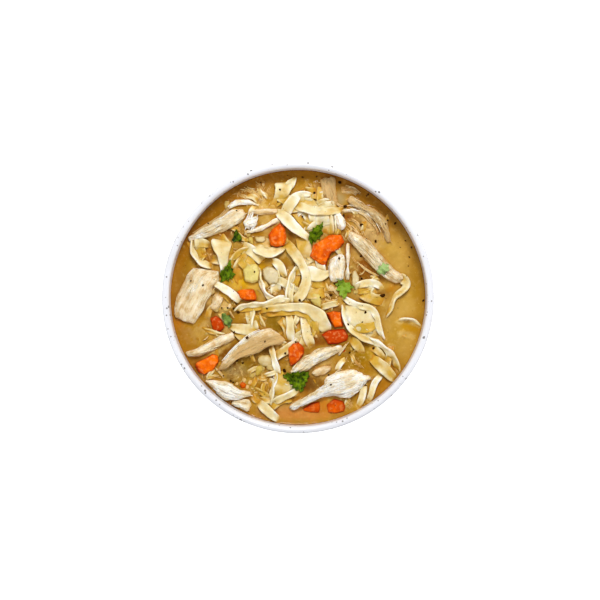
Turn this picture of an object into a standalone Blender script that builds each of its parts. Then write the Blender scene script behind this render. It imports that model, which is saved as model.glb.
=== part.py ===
"""Chicken noodle soup in a stoneware bowl.

Blender 4.5, metres, +Z up.  The origin is the centre of the foot ring's resting face.
The bowl and the broth are turned profiles.  The noodles are one heap out to its uneven
outline, and every piece of chicken, carrot, celery and onion that shows is a solid of its
own, which stands in a pocket of the heap and of the broth.
"""
import math

import bmesh
import bpy
from mathutils import Vector, noise

MM = 0.001

# ---- bowl, all in millimetres ------------------------------------------------------------
RIM_RADIUS = 90.0
BOWL_HEIGHT = 70.0
WALL = 4.7
FOOT_RADIUS = 44.0
FOOT_WIDTH = 6.0
FOOT_HEIGHT = 3.0
FLOOR_THICKNESS = 5.0
SHOULDER = 45.0            # height over which the side curves out from the foot
LIP_DEPTH = 3.0            # height of the rounded lip
TURN_STEPS = 40

# ---- contents ------------------------------------------------------------------------------
BROTH_LEVEL = 55.0
GAP = 0.3                  # air between two solids that touch in the real bowl
WALL_REACH = 83.6          # furthest that a piece in the broth comes to the wall
CUT_ABOVE = 14.0           # height above the broth that a pocket is kept open
HEAP_DEPTH = 11.0
HEAP_RISE = 1.9
HEAP_UNEVEN = 1.5
HEAP_STEPS = 36

# The noodle heap's reach from the middle, every 15 degrees from +X.
HEAP_REACH = (67, 73, 63, 66, 66, 66, 76, 71, 66, 64, 79, 69,
              62, 60, 64, 67, 66, 74, 68, 66, 71, 74, 75, 63)

# Compact pieces: outline in x, y; how far the piece sinks below the broth and stands above it.
CHICKEN_CHUNKS = {
    "chicken_slab_left": (((-70, 20), (-62, 19), (-53, 17.5), (-52.5, 12), (-57, 7), (-58.3, 1.5), (-62, -4),
                           (-66, -12), (-70, -18), (-76, -16.5), (-82.5, -13), (-83, -7), (-81, 1),
                           (-77.5, 8), (-74.5, 15)), 6.0, 5.0),
    "chicken_slab_curved": (((-54, -49), (-51, -43), (-45, -37), (-38, -31), (-30, -25), (-24, -21.5),
                             (-18, -21), (-12, -24), (-8, -28.5), (-12, -31.5), (-18, -32), (-26, -37),
                             (-35, -39.5), (-43, -43), (-49, -48.5)), 6.0, 5.5),
    "chicken_chunk_front": (((-63, -56), (-57, -55.5), (-50, -56), (-44, -58), (-39, -62.5), (-32, -63.5),
                             (-31, -66), (-37, -67.5), (-43, -69), (-49, -69.5), (-55, -65), (-60, -60.5)),
                            5.0, 4.5),
    "chicken_lobe_front": (((-45, -71.5), (-39, -69), (-33, -68.6), (-31.5, -73), (-33, -76.5), (-38, -75)),
                           4.0, 3.0),
    "chicken_shredded": (((17, -58), (20, -54), (26, -49.5), (35, -47.5), (42, -50), (49, -54.5), (44, -59),
                          (38, -64.5), (32, -67), (25, -65.5), (14, -67), (5, -71), (-4, -75),
                          (-6, -73), (4, -68.5), (12, -63)), 6.0, 5.5),
    "chicken_back": (((15, 79), (24, 80), (26, 72), (26, 62), (21, 60), (18, 67), (15.5, 73)), 5.0, 2.5),
    "chicken_back_small": (((28.5, 74), (37, 73.5), (40, 70.5), (34, 68.6), (29, 69.5)), 4.0, 1.0),
    "chicken_block_back": (((-36.5, 50), (-34, 53.5), (-28, 54.4), (-27.5, 49), (-29, 47), (-35, 47)), 4.0, 4.5),
    "chicken_block_middle": (((21.5, 25), (24.5, 27.5), (29, 28.8), (31, 27), (31, 12), (28, 10.5), (22, 11), (20, 17)),
                             5.0, 5.5),
    "chicken_oval": (((8.5, -51), (12, -53), (18, -52), (22, -48.5), (22.5, -46), (17, -45.5), (11, -48)),
                     4.0, 2.5),
    "chicken_pale_left": (((-58.6, -8), (-60, -6.5), (-55.8, 2), (-53, 4), (-50, 0), (-52, -6), (-55, -9)),
                          4.0, 2.5),
}

CARROTS = {
    "carrot_01": (((-12, 50), (-17, 46), (-20, 42), (-18.5, 34.5), (-14, 33.5), (-9, 34.5), (-7.5, 40),
                   (-8.5, 46)), 5.0, 6.5),
    "carrot_02": (((8, 27), (10, 35), (15, 38), (21, 42), (29, 42.3), (31.3, 37), (27, 32), (22, 29.5),
                   (18.5, 21), (14, 22)), 4.0, 6.0),
    "carrot_03": (((-41, 4), (-37, 5.5), (-29.5, 5.5), (-27.5, 0.5), (-28, -2.2), (-35, -2.4), (-39, -0.5)),
                  5.0, 5.0),
    "carrot_04": (((-59, -14), (-55, -12), (-51, -15), (-49, -20), (-52, -23.5), (-57, -22)), 5.0, 2.5),
    "carrot_05": (((-68, -43.5), (-62, -40.6), (-57, -37.6), (-53.4, -39), (-52.8, -43.5), (-57, -49),
                   (-63, -52), (-67, -50), (-69, -46)), 5.0, 4.0),
    "carrot_06": (((18.5, -10.5), (24, -9), (29, -10), (29.5, -15), (30.4, -19.7), (24.5, -20.4),
                   (21.5, -16)), 5.0, 4.5),
    "carrot_07": (((15.5, -25), (20, -22), (25, -21.4), (31, -20.9), (34, -25.5), (33, -29), (27, -31.3),
                   (20, -31.6), (18, -28)), 5.0, 3.0),
    "carrot_08": (((-4, -31), (1, -30), (4, -34), (4.2, -38), (0.5, -43), (-5, -46.5), (-6.3, -41),
                   (-6.5, -34)), 5.0, 5.0),
    "carrot_09": (((3, -74.5), (9, -70.6), (14.5, -69.5), (15, -74), (14, -77.5), (8, -77), (4, -76.3)),
                  5.0, 1.5),
    "carrot_10": (((19, -72), (24, -67.8), (30, -69.3), (32, -73), (31, -76.5), (25, -78), (20, -77)),
                  5.0, 2.0),
    "carrot_11": (((-39.5, -58.2), (-37, -56), (-34.5, -58), (-35, -60.8), (-38, -61.2)), 3.0, 0.8),
}

CELERY = {
    "celery_01": (((-37, 19), (-33, 23), (-27, 22.5), (-25.2, 17), (-26, 10.5), (-31, 9), (-36, 11)), 4.0, 4.5),
    "celery_02": (((-24.2, 19), (-20, 21), (-14, 20), (-12, 15), (-13, 9), (-19, 8.5), (-23.5, 12)), 4.0, 4.0),
    "celery_03": (((8, 1), (11, 4.5), (15, 2), (16, -3), (15, -7), (11, -6.5), (8, -3)), 4.0, 3.5),
    "celery_04": (((-30, -47.5), (-26.5, -45.5), (-23.2, -46.5), (-23.5, -49.5), (-28, -50)), 3.0, 2.0),
    "celery_05": (((-33, 41), (-30.5, 40.7), (-29.6, 37), (-30, 34), (-33, 35.5)), 3.0, 2.5),
}

ONION = {
    "onion_01": (((-29, 40.5), (-22, 41), (-21, 38), (-24, 36.5), (-28.6, 37)), 3.0, 3.0),
    "onion_02": (((36, 17), (38.5, 18.5), (41, 14), (41.5, 7), (39, 4), (36.5, 8)), 3.0, 3.5),
    "onion_03": (((-22, -45), (-17, -42.5), (-13, -45), (-12.5, -49), (-16, -50.5), (-21, -48.5)), 3.0, 2.0),
}

# Long pieces: a route of x, y and the width there; how far it sinks and stands above the broth.
CHICKEN_STRIPS = {
    "chicken_strip_long": (((-73, 38.7, 3), (-62, 43.5, 7), (-52, 48.5, 9), (-42, 54, 10), (-36, 57, 5)),
                           5.0, 4.0),
    "chicken_strip_left": (((-75, -38.5, 3), (-66, -36.6, 5), (-55, -31, 6), (-43, -25.5, 6)), 4.0, 4.0),
    "chicken_strip_front": (((-4, -51, 4), (3, -46.5, 6), (11, -40.8, 8), (20, -36.5, 7), (29, -34, 3)),
                            5.0, 5.0),
    "chicken_strip_right": (((34.5, 42, 6), (41, 37, 9), (48, 30, 10), (55, 22, 10), (62, 15.5, 9),
                             (69, 12.5, 5)), 5.0, 5.5),
    "chicken_strip_back": (((25.5, 56, 5), (28, 50, 7), (29.5, 45.5, 4)), 4.0, 5.0),
    "chicken_shred_thin": (((-35, 44, 2), (-28, 45.3, 3), (-20, 48.6, 3), (-13, 52.6, 2)), 3.0, 2.5),
    "chicken_shred_arc_back": (((-46.5, 60, 2), (-41, 63.4, 3), (-33, 64, 3), (-26, 61.5, 2)), 3.0, 2.5),
    "chicken_shred_flat": (((-33.5, 57.6, 2), (-25, 57.6, 3.5), (-14, 58, 3)), 3.0, 2.0),
    "chicken_shred_arc_right": (((35, 66, 2.5), (40, 62.3, 4), (47, 58.8, 4), (54, 53, 5), (58, 46, 4.5),
                                 (60.5, 37, 3)), 4.0, 3.5),
    "chicken_shred_straight": (((29.5, 57.6, 2), (36, 58.3, 2.5), (43, 57, 2)), 3.0, 2.5),
    "chicken_shred_upright": (((33.4, 36, 2), (33.4, 24, 2.2), (33.2, 12, 2)), 3.0, 4.0),
}

NOODLES = {
    "noodle_right": (((65, -17.5, 2), (72, -15.5, 3.5), (78, -17, 3), (81, -20, 2)), 3.0, 1.5),
    "noodle_front": (((-26, -74, 4), (-21, -77.5, 6), (-14.5, -80.5, 4)), 3.0, 1.5),
}

# ---- colours: red, green, blue in linear light, and roughness ------------------------------
STONEWARE = (0.82, 0.82, 0.80), 0.18
BROTH = (0.50, 0.27, 0.035), 0.08
NOODLE = (0.80, 0.66, 0.30), 0.35
CHICKEN = (0.76, 0.62, 0.40), 0.55
CARROT = (0.85, 0.14, 0.008), 0.35
CELERY_GREEN = (0.62, 0.62, 0.22), 0.35
ONION_WHITE = (0.80, 0.75, 0.60), 0.30


def make_material(name, finish):
    """A Principled material with the piece's colour and roughness."""
    colour, roughness = finish
    material = bpy.data.materials.new(name)
    material.use_nodes = True
    shader = material.node_tree.nodes["Principled BSDF"]
    shader.inputs["Base Color"].default_value = (*colour, 1.0)
    shader.inputs["Roughness"].default_value = roughness
    shader.inputs["Metallic"].default_value = 0.0
    return material


def add_object(name, mesh, collection, material=None):
    """Put a mesh in the scene as one named object."""
    piece = bpy.data.objects.new(name, mesh)
    collection.objects.link(piece)
    if material:
        mesh.materials.append(material)
    return piece


# ---- turned pieces -------------------------------------------------------------------------

def inner_profile(clearance):
    """The bowl's inside from the middle of its floor to the foot of the lip, moved in by clearance."""
    floor = FOOT_HEIGHT + FLOOR_THICKNESS
    flat = FOOT_RADIUS - FOOT_WIDTH
    across = RIM_RADIUS - WALL - flat - clearance
    up = SHOULDER - 3.0 - clearance
    points = [(0.0, floor + clearance), (flat, floor + clearance)]
    arc_steps = 5
    for step in range(1, arc_steps + 1):
        turn = math.radians(90.0) * step / arc_steps
        points.append((flat + across * math.sin(turn), floor + clearance + up * (1.0 - math.cos(turn))))
    return points


def bowl_profile():
    """Inside of the bowl, rounded lip, outer side, foot ring and underside, in that order."""
    points = inner_profile(0.0)
    lip_middle = RIM_RADIUS - WALL / 2.0
    lip_steps = 4
    for step in range(lip_steps + 1):
        turn = math.radians(180.0) * step / lip_steps
        points.append((lip_middle - WALL / 2.0 * math.cos(turn),
                       BOWL_HEIGHT - LIP_DEPTH + LIP_DEPTH * math.sin(turn)))
    side_steps = 6
    for step in range(side_steps + 1):
        turn = math.radians(90.0) * (1.0 - step / side_steps)
        points.append((FOOT_RADIUS + (RIM_RADIUS - FOOT_RADIUS) * math.sin(turn),
                       FOOT_HEIGHT + SHOULDER * (1.0 - math.cos(turn))))
    points.append((FOOT_RADIUS - 0.6, 0.0))
    points.append((FOOT_RADIUS - FOOT_WIDTH + 0.6, 0.0))
    points.append((FOOT_RADIUS - FOOT_WIDTH, FOOT_HEIGHT))
    points.append((0.0, FOOT_HEIGHT))
    return points


def broth_profile():
    """Surface of the broth, then down the wall and along the floor, clear of the bowl."""
    inside = inner_profile(GAP)
    wall_radius = inside[-1][0]
    return [(0.0, BROTH_LEVEL), (wall_radius, BROTH_LEVEL)] + inside[::-1]


def turned(name, profile, collection, material):
    """Turn a profile about Z with a Screw modifier."""
    mesh = bpy.data.meshes.new(name)
    corners = [(radius * MM, 0.0, height * MM) for radius, height in profile]
    edges = [(index, index + 1) for index in range(len(corners) - 1)]
    mesh.from_pydata(corners, edges, [])
    piece = add_object(name, mesh, collection, material)
    screw = piece.modifiers.new("turn", "SCREW")
    screw.axis = "Z"
    screw.steps = TURN_STEPS
    screw.render_steps = TURN_STEPS
    screw.use_merge_vertices = True
    screw.merge_threshold = 0.0001
    return piece


# ---- pieces built from rings ---------------------------------------------------------------

def loft(name, rings, collection, material=None, fan_top=True):
    """A closed mesh through rings of equal count; the last ring ends in a raised middle or is flat."""
    shape = bmesh.new()
    loops = [[shape.verts.new(Vector(point) * MM) for point in ring] for ring in rings]
    for lower, upper in zip(loops, loops[1:]):
        for index in range(len(lower)):
            following = (index + 1) % len(lower)
            shape.faces.new((lower[index], lower[following], upper[following], upper[index]))
    shape.faces.new(loops[0][::-1])
    if fan_top:
        middle = sum((Vector(point) for point in rings[-1]), Vector()) / len(rings[-1])
        peak = shape.verts.new((middle + Vector((0, 0, 0.3))) * MM)
        for index, corner in enumerate(loops[-1]):
            shape.faces.new((corner, loops[-1][(index + 1) % len(loops[-1])], peak))
    else:
        shape.faces.new(loops[-1])
    bmesh.ops.triangulate(shape, faces=shape.faces[:])
    bmesh.ops.recalc_face_normals(shape, faces=shape.faces[:])
    mesh = bpy.data.meshes.new(name)
    shape.to_mesh(mesh)
    shape.free()
    return add_object(name, mesh, collection, material)


def kept_in_bowl(point, furthest=WALL_REACH):
    """Move a point that lies too near the wall straight inwards."""
    x, y = point
    reach = math.hypot(x, y)
    shrink = min(1.0, furthest / reach) if reach else 1.0
    return x * shrink, y * shrink


def centre_of(outline):
    """The centre of an outline's area."""
    area = 0.0
    x_sum = 0.0
    y_sum = 0.0
    for (x_a, y_a), (x_b, y_b) in zip(outline, outline[1:] + outline[:1]):
        cross = x_a * y_b - x_b * y_a
        area += cross / 2.0
        x_sum += (x_a + x_b) * cross / 6.0
        y_sum += (y_a + y_b) * cross / 6.0
    return x_sum / area, y_sum / area


def counterclockwise(outline):
    """The outline in the direction that has its inside on the left."""
    area = sum(a[0] * b[1] - b[0] * a[1] for a, b in zip(outline, outline[1:] + outline[:1]))
    return list(outline) if area > 0 else list(outline)[::-1]


def grown(outline, margin):
    """The outline moved outwards by a margin, square to its edges."""
    moved = []
    count = len(outline)
    for index, (x, y) in enumerate(outline):
        normals = []
        for start, end in ((index - 1, index), (index, (index + 1) % count)):
            edge = Vector(outline[end]) - Vector(outline[start])
            normals.append(Vector((edge.y, -edge.x)).normalized())
        lean = max(0.35, 1.0 + normals[0].dot(normals[1]))
        push = (normals[0] + normals[1]) * (margin / lean)
        moved.append((x + push.x, y + push.y))
    return moved


def shrunk(outline, share):
    """The outline drawn in towards its centre."""
    x_mid, y_mid = centre_of(outline)
    return [(x_mid + (x - x_mid) * share, y_mid + (y - y_mid) * share) for x, y in outline]


def unevenness(x, y, amount, wavelength):
    """Smooth relief that depends only on the place."""
    return amount * noise.noise(Vector((x / wavelength, y / wavelength, 4.2)))


def chunk(name, outline, sink, rise, collection, material):
    """A compact piece: narrower below, full at the broth, rounded and uneven on top."""
    outline = counterclockwise([kept_in_bowl(point) for point in outline])
    levels = ((0.84, -sink, 0.0), (1.0, -0.3 * sink, 0.0), (0.97, 0.5 * rise, 0.5), (0.74, 0.88 * rise, 0.8))
    rings = []
    for share, height, relief in levels:
        rings.append([(x, y, BROTH_LEVEL + height + unevenness(x, y, relief, 5.0))
                      for x, y in shrunk(outline, share)])
    return loft(name, rings, collection, material)


def chunk_cutter(name, outline, sink, collection):
    """The pocket that a compact piece stands in, open above."""
    outline = counterclockwise([kept_in_bowl(point) for point in outline])
    levels = ((0.84, -sink - GAP), (1.0, -0.3 * sink - GAP), (1.0, CUT_ABOVE))
    rings = [[(x, y, BROTH_LEVEL + height) for x, y in grown(shrunk(outline, share), GAP)]
             for share, height in levels]
    return loft(name, rings, collection, fan_top=False)


def smooth_route(route):
    """The route with one more point between each two of its own, on a smooth curve."""
    places = [Vector(point) for point in route]
    points = [places[0]]
    for index in range(len(places) - 1):
        before = places[max(index - 1, 0)]
        after = places[min(index + 2, len(places) - 1)]
        points.append((places[index] + places[index + 1]) * 0.5625 - (before + after) * 0.0625)
        points.append(places[index + 1])
    return points


def strip_rings(route, sections, furthest=WALL_REACH):
    """Rings across a route; each section point is a share of the width, an extra width and a height."""
    points = smooth_route(route)
    rings = []
    for index, point in enumerate(points):
        ahead = points[min(index + 1, len(points) - 1)] - points[max(index - 1, 0)]
        side = Vector((-ahead.y, ahead.x)).normalized()
        ends = index in (0, len(points) - 1)
        ring = []
        for share, extra, height in sections(ends):
            reach = point.z / 2.0 * share + extra
            x, y = kept_in_bowl((point.x + side.x * reach, point.y + side.y * reach), furthest)
            ring.append((x, y, height))
        rings.append(ring)
    return rings


def strip(name, route, sink, rise, collection, material):
    """A long piece with a rounded, uneven top."""
    def section(at_end):
        low = 0.6 if at_end else 1.0
        return ((0.75, 0.0, -sink * low), (1.0, 0.0, -0.2 * sink), (0.8, 0.0, 0.7 * rise * low),
                (0.0, 0.0, rise * low), (-0.8, 0.0, 0.7 * rise * low), (-1.0, 0.0, -0.2 * sink),
                (-0.75, 0.0, -sink * low))
    rings = [[(x, y, BROTH_LEVEL + height + unevenness(x, y, 0.5, 4.0)) for x, y, height in ring]
             for ring in strip_rings(route, section)]
    return loft(name, rings, collection, material, fan_top=False)


def strip_cutter(name, route, sink, collection):
    """The pocket that a long piece lies in, open above."""
    def section(_at_end):
        bottom = -sink - 2.0 * GAP
        return ((0.75, GAP, bottom), (1.0, GAP, -0.2 * sink - GAP), (1.0, GAP, CUT_ABOVE),
                (-1.0, -GAP, CUT_ABOVE), (-1.0, -GAP, -0.2 * sink - GAP), (-0.75, -GAP, bottom))
    first, second = Vector(route[0]), Vector(route[1])
    before_last, last = Vector(route[-2]), Vector(route[-1])
    longer = [first - (second - first).normalized() * 2.0 * GAP, *route[1:-1],
              last + (last - before_last).normalized() * 2.0 * GAP]
    rings = [[(x, y, BROTH_LEVEL + height) for x, y, height in ring]
             for ring in strip_rings(longer, section, WALL_REACH + 2.0 * GAP)]
    return loft(name, rings, collection, fan_top=False)


def heap_outline():
    """The heap's edge: its reaches joined by a smooth closed curve."""
    outline = []
    count = len(HEAP_REACH)
    for step in range(HEAP_STEPS):
        place = step * count / HEAP_STEPS
        index = int(place)
        blend = 0.5 - 0.5 * math.cos((place - index) * math.pi)
        reach = HEAP_REACH[index] * (1.0 - blend) + HEAP_REACH[(index + 1) % count] * blend
        turn = 2.0 * math.pi * step / HEAP_STEPS
        outline.append((reach * math.cos(turn), reach * math.sin(turn)))
    return outline


def noodle_heap(collection, material):
    """The noodles as one low, uneven heap."""
    outline = heap_outline()
    levels = ((0.9, -HEAP_DEPTH, 0.0), (1.0, -3.0, 0.0), (0.99, 0.5, 0.2), (0.92, HEAP_RISE, HEAP_UNEVEN),
              (0.62, HEAP_RISE, HEAP_UNEVEN), (0.3, HEAP_RISE, HEAP_UNEVEN))
    rings = [[(x * share, y * share, BROTH_LEVEL + height + unevenness(x * share, y * share, relief, 9.0))
              for x, y in outline] for share, height, relief in levels]
    return loft("noodle_heap", rings, collection, material)


def heap_cutter(collection):
    """The pocket of the broth that the heap stands in."""
    outline = heap_outline()
    levels = ((0.9, -HEAP_DEPTH - GAP), (1.0, -3.0 - GAP), (1.0, CUT_ABOVE))
    rings = [[(x, y, BROTH_LEVEL + height)
              for x, y in grown([(x * share, y * share) for x, y in outline], GAP)]
             for share, height in levels]
    return loft("cut_heap", rings, collection, fan_top=False)


def cut(piece, operand):
    """Take a cutter object, or a whole collection of them, away from a piece."""
    boolean = piece.modifiers.new("pockets", "BOOLEAN")
    boolean.operation = "DIFFERENCE"
    boolean.solver = "EXACT"
    if isinstance(operand, bpy.types.Collection):
        boolean.operand_type = "COLLECTION"
        boolean.collection = operand
    else:
        boolean.object = operand


def clear_scene():
    """Start from an empty scene."""
    for old in list(bpy.data.objects):
        bpy.data.objects.remove(old, do_unlink=True)


def new_collection(name):
    """A collection linked to the scene."""
    collection = bpy.data.collections.new(name)
    bpy.context.scene.collection.children.link(collection)
    return collection


def main():
    clear_scene()
    soup = new_collection("chicken_noodle_soup")
    pockets = new_collection("pocket_cutters")
    heap_pocket = new_collection("heap_cutter")

    chicken = make_material("chicken", CHICKEN)
    noodle = make_material("noodle", NOODLE)
    for table, material in ((CHICKEN_CHUNKS, chicken), (CARROTS, make_material("carrot", CARROT)),
                            (CELERY, make_material("celery", CELERY_GREEN)),
                            (ONION, make_material("onion", ONION_WHITE))):
        for name, (outline, sink, rise) in table.items():
            chunk(name, outline, sink, rise, soup, material)
            chunk_cutter("cut_" + name, outline, sink, pockets)
    for table, material in ((CHICKEN_STRIPS, chicken), (NOODLES, noodle)):
        for name, (route, sink, rise) in table.items():
            strip(name, route, sink, rise, soup, material)
            strip_cutter("cut_" + name, route, sink, pockets)

    heap = noodle_heap(soup, noodle)
    cut(heap, pockets)
    broth = turned("broth", broth_profile(), soup, make_material("broth", BROTH))
    cut(broth, heap_cutter(heap_pocket))
    cut(broth, pockets)
    bowl = turned("bowl", bowl_profile(), soup, make_material("stoneware", STONEWARE))
    bowl.data.shade_smooth()

    for cutter in (*pockets.objects, *heap_pocket.objects):
        cutter.hide_render = True
        cutter.display_type = "WIRE"


main()
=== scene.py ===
"""Chicken noodle soup in a speckled stoneware bowl: the finish of every piece around its solids.

Lengths in the tables are millimetres.  Places on the soup are x to the right and y to the back
from the middle of the bowl, and heights there count from the level of the broth.
"""
import math
import random

import bmesh
import bpy
from mathutils import Matrix, Vector, noise
from mathutils.bvhtree import BVHTree


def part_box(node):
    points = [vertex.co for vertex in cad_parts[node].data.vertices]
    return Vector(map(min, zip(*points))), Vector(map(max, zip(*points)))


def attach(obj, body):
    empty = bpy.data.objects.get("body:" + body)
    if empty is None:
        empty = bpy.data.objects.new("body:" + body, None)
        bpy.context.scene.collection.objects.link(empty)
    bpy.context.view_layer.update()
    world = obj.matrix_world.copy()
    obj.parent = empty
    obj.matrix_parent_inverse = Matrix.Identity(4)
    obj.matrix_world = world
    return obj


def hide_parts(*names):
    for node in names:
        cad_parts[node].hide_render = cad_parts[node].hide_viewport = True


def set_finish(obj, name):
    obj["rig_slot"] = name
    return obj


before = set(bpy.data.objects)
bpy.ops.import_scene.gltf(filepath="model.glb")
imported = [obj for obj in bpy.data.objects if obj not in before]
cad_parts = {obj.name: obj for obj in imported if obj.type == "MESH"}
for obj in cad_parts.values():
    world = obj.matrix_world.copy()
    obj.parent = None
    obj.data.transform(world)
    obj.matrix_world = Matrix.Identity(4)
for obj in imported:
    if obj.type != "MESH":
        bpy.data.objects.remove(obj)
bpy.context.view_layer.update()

bl_info = {
    "name": "Chicken Noodle Soup",
    "version": (1, 0, 0),
    "blender": (4, 5, 0),
    "location": "View3D > Sidebar > Soup",
    "description": "Builds a bowl of chicken noodle soup around its packed solids",
    "category": "Add Mesh",
}

MM = 0.001
BODY = "root"

BOWL_LOW, BOWL_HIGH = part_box("bowl")
BROTH_LOW, BROTH_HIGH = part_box("broth")
RIM_RADIUS = BOWL_HIGH[0] / MM
RIM_HEIGHT = BOWL_HIGH[2] / MM
LEVEL = BROTH_HIGH[2] / MM
BROTH_RADIUS = BROTH_HIGH[0] / MM
INNER_FLOOR = BROTH_LOW[2] / MM

DOWN = Vector((0.0, 0.0, -1.0))
# Height in metres, above all food, from which rays look down on it.
LOOKOUT = 0.2
# Points closer than this, in metres, are merged.
MERGE = 0.00001


# ---- settings ----

LENGTH = {"unit": "LENGTH", "subtype": "DISTANCE"}
COLOUR = {"subtype": "COLOR", "size": 3, "min": 0.0, "max": 1.0}


class SoupBowlSettings(bpy.types.PropertyGroup):
    """Sizes and colours of the stoneware bowl."""
    turn_steps: bpy.props.IntProperty(
        name="Turn Steps", description="Faces around the bowl", default=144, min=24)
    foot_radius: bpy.props.FloatProperty(
        name="Foot Radius", description="Outer radius of the foot ring", default=0.044, **LENGTH)
    wall: bpy.props.FloatProperty(
        name="Wall", description="Thickness of the wall below the lip", default=0.0047, **LENGTH)
    glaze: bpy.props.FloatVectorProperty(
        name="Glaze", description="Colour of the glaze", default=(0.79, 0.79, 0.83), **COLOUR)
    speck: bpy.props.FloatVectorProperty(
        name="Speck", description="Colour of the iron specks in the glaze", default=(0.12, 0.10, 0.09),
        **COLOUR)


class SoupBrothSettings(bpy.types.PropertyGroup):
    """Sizes and colours of the broth."""
    cell: bpy.props.FloatProperty(
        name="Cell", description="Size of the faces on the broth's surface", default=0.00072, **LENGTH)
    clear_depth: bpy.props.FloatProperty(
        name="Clear Depth", description="Depth at which what is sunk has faded to a third", default=0.0024,
        **LENGTH)
    broth: bpy.props.FloatVectorProperty(
        name="Broth", description="Colour of clear broth", default=(0.58, 0.33, 0.036), **COLOUR)
    # Painted shade in part: clear_broth mixes this darker colour in by random patches, and as shade among the
    # food and near the wall.
    deep_and_shaded: bpy.props.FloatVectorProperty(
        name="Deep Broth", description="Colour of the broth between the food and under the wall",
        default=(0.34, 0.145, 0.002), **COLOUR)


class SoupNoodleSettings(bpy.types.PropertyGroup):
    """Sizes and colours of the egg noodles."""
    thickness: bpy.props.FloatProperty(
        name="Thickness", description="Thickness of a cooked noodle", default=0.0013, **LENGTH)
    ruffle: bpy.props.FloatProperty(
        name="Ruffle", description="Height of the waves along a noodle's edges", default=0.0010, **LENGTH)
    pale: bpy.props.FloatVectorProperty(
        name="Pale", description="Colour of a noodle out of the broth", default=(0.95, 0.89, 0.75), **COLOUR)
    cream: bpy.props.FloatVectorProperty(
        name="Cream", description="Colour of a noodle's inner width", default=(0.80, 0.67, 0.37), **COLOUR)
    yellow: bpy.props.FloatVectorProperty(
        name="Yellow", description="Colour of a noodle soaked in broth", default=(0.62, 0.37, 0.04), **COLOUR)
    # Painted shade: the noodle material mixes this broth-brown in where the gaps between noodles are narrow.
    gap_shade: bpy.props.FloatVectorProperty(
        name="Hollow", description="Colour of the broth film in the gaps between noodles",
        default=(0.40, 0.19, 0.004), **COLOUR)


class SoupChickenSettings(bpy.types.PropertyGroup):
    """Sizes and colours of the chicken."""
    voxel: bpy.props.FloatProperty(
        name="Detail", description="Size of the faces on the meat", default=0.0005, **LENGTH)
    white: bpy.props.FloatVectorProperty(
        name="White", description="Colour of the palest meat", default=(0.96, 0.92, 0.82), **COLOUR)
    cream: bpy.props.FloatVectorProperty(
        name="Cream", description="Colour of the meat out of the broth", default=(0.85, 0.70, 0.45), **COLOUR)
    tan: bpy.props.FloatVectorProperty(
        name="Tan", description="Colour of the meat soaked in broth", default=(0.62, 0.40, 0.16), **COLOUR)


class SoupVegetableSettings(bpy.types.PropertyGroup):
    """Sizes and colours of the carrot, celery and onion."""
    voxel: bpy.props.FloatProperty(
        name="Detail", description="Size of the faces on the vegetables", default=0.00045, **LENGTH)
    orange: bpy.props.FloatVectorProperty(
        name="Orange", description="Colour of the carrot", default=(1.0, 0.19, 0.002), **COLOUR)
    red: bpy.props.FloatVectorProperty(
        name="Red", description="Colour of the carrot's darker side", default=(0.52, 0.050, 0.001), **COLOUR)
    celery: bpy.props.FloatVectorProperty(
        name="Celery", description="Colour of the celery", default=(0.67, 0.55, 0.17), **COLOUR)
    onion: bpy.props.FloatVectorProperty(
        name="Onion", description="Colour of the onion", default=(0.66, 0.56, 0.35), **COLOUR)


class SoupHerbSettings(bpy.types.PropertyGroup):
    """Sizes and colours of the parsley and pepper."""
    leaf_thickness: bpy.props.FloatProperty(
        name="Leaf Thickness", description="Thickness of a parsley leaf", default=0.00035, **LENGTH)
    dark: bpy.props.FloatVectorProperty(
        name="Dark Leaf", description="Colour of a parsley leaf in shade", default=(0.012, 0.030, 0.0005),
        **COLOUR)
    bright: bpy.props.FloatVectorProperty(
        name="Bright Leaf", description="Colour of a parsley leaf in light", default=(0.22, 0.34, 0.004),
        **COLOUR)
    pepper: bpy.props.FloatVectorProperty(
        name="Pepper", description="Colour of the pepper", default=(0.022, 0.007, 0.0005), **COLOUR)


class SoupStageSettings(bpy.types.PropertyGroup):
    """Camera, lights and floor."""
    camera_distance: bpy.props.FloatProperty(
        name="Camera Distance", description="Distance of the camera above the rim", default=0.9, **LENGTH)
    view_width: bpy.props.FloatProperty(
        name="View Width", description="Width that the view takes in at the rim", default=0.3956, **LENGTH)
    floor: bpy.props.FloatVectorProperty(
        name="Floor", description="Colour of the floor", default=(0.66, 0.66, 0.66), **COLOUR)


# ---- mesh helpers ----

def pick(piece):
    """Make one object the only selected and the active one."""
    bpy.ops.object.select_all(action="DESELECT")
    piece.select_set(True)
    bpy.context.view_layer.objects.active = piece


def finish_with(piece, kind, **values):
    """Add a modifier, set it and apply it."""
    pick(piece)
    bpy.ops.object.modifier_add(type=kind)
    modifier = piece.modifiers[-1]
    for name, value in values.items():
        setattr(modifier, name, value)
    bpy.ops.object.modifier_apply(modifier=modifier.name)


def joined(pieces, name):
    """Join pieces into one object of that name."""
    pick(pieces[0])
    for piece in pieces[1:]:
        piece.select_set(True)
    bpy.ops.object.join()
    whole = bpy.context.view_layer.objects.active
    whole.name = name
    whole.data.name = name
    return whole


def linked(name, data):
    """A new object in the scene that holds the data."""
    piece = bpy.data.objects.new(name, data)
    bpy.context.scene.collection.objects.link(piece)
    return piece


def opened(mesh):
    """A bmesh of a mesh, to edit."""
    shape = bmesh.new()
    shape.from_mesh(mesh)
    return shape


def close(shape, mesh):
    """Write an edited bmesh to a mesh."""
    shape.to_mesh(mesh)
    shape.free()


def drawn(shape, name):
    """A new object made of a finished bmesh."""
    mesh = bpy.data.meshes.new(name)
    close(shape, mesh)
    return linked(name, mesh)


def new_grid(name, x_count, y_count, size=2.0):
    """A flat grid of that many faces across."""
    bpy.ops.object.select_all(action="DESELECT")
    bpy.ops.mesh.primitive_grid_add(x_subdivisions=x_count, y_subdivisions=y_count, size=size)
    grid = bpy.context.object
    grid.name = name
    return grid


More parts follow.
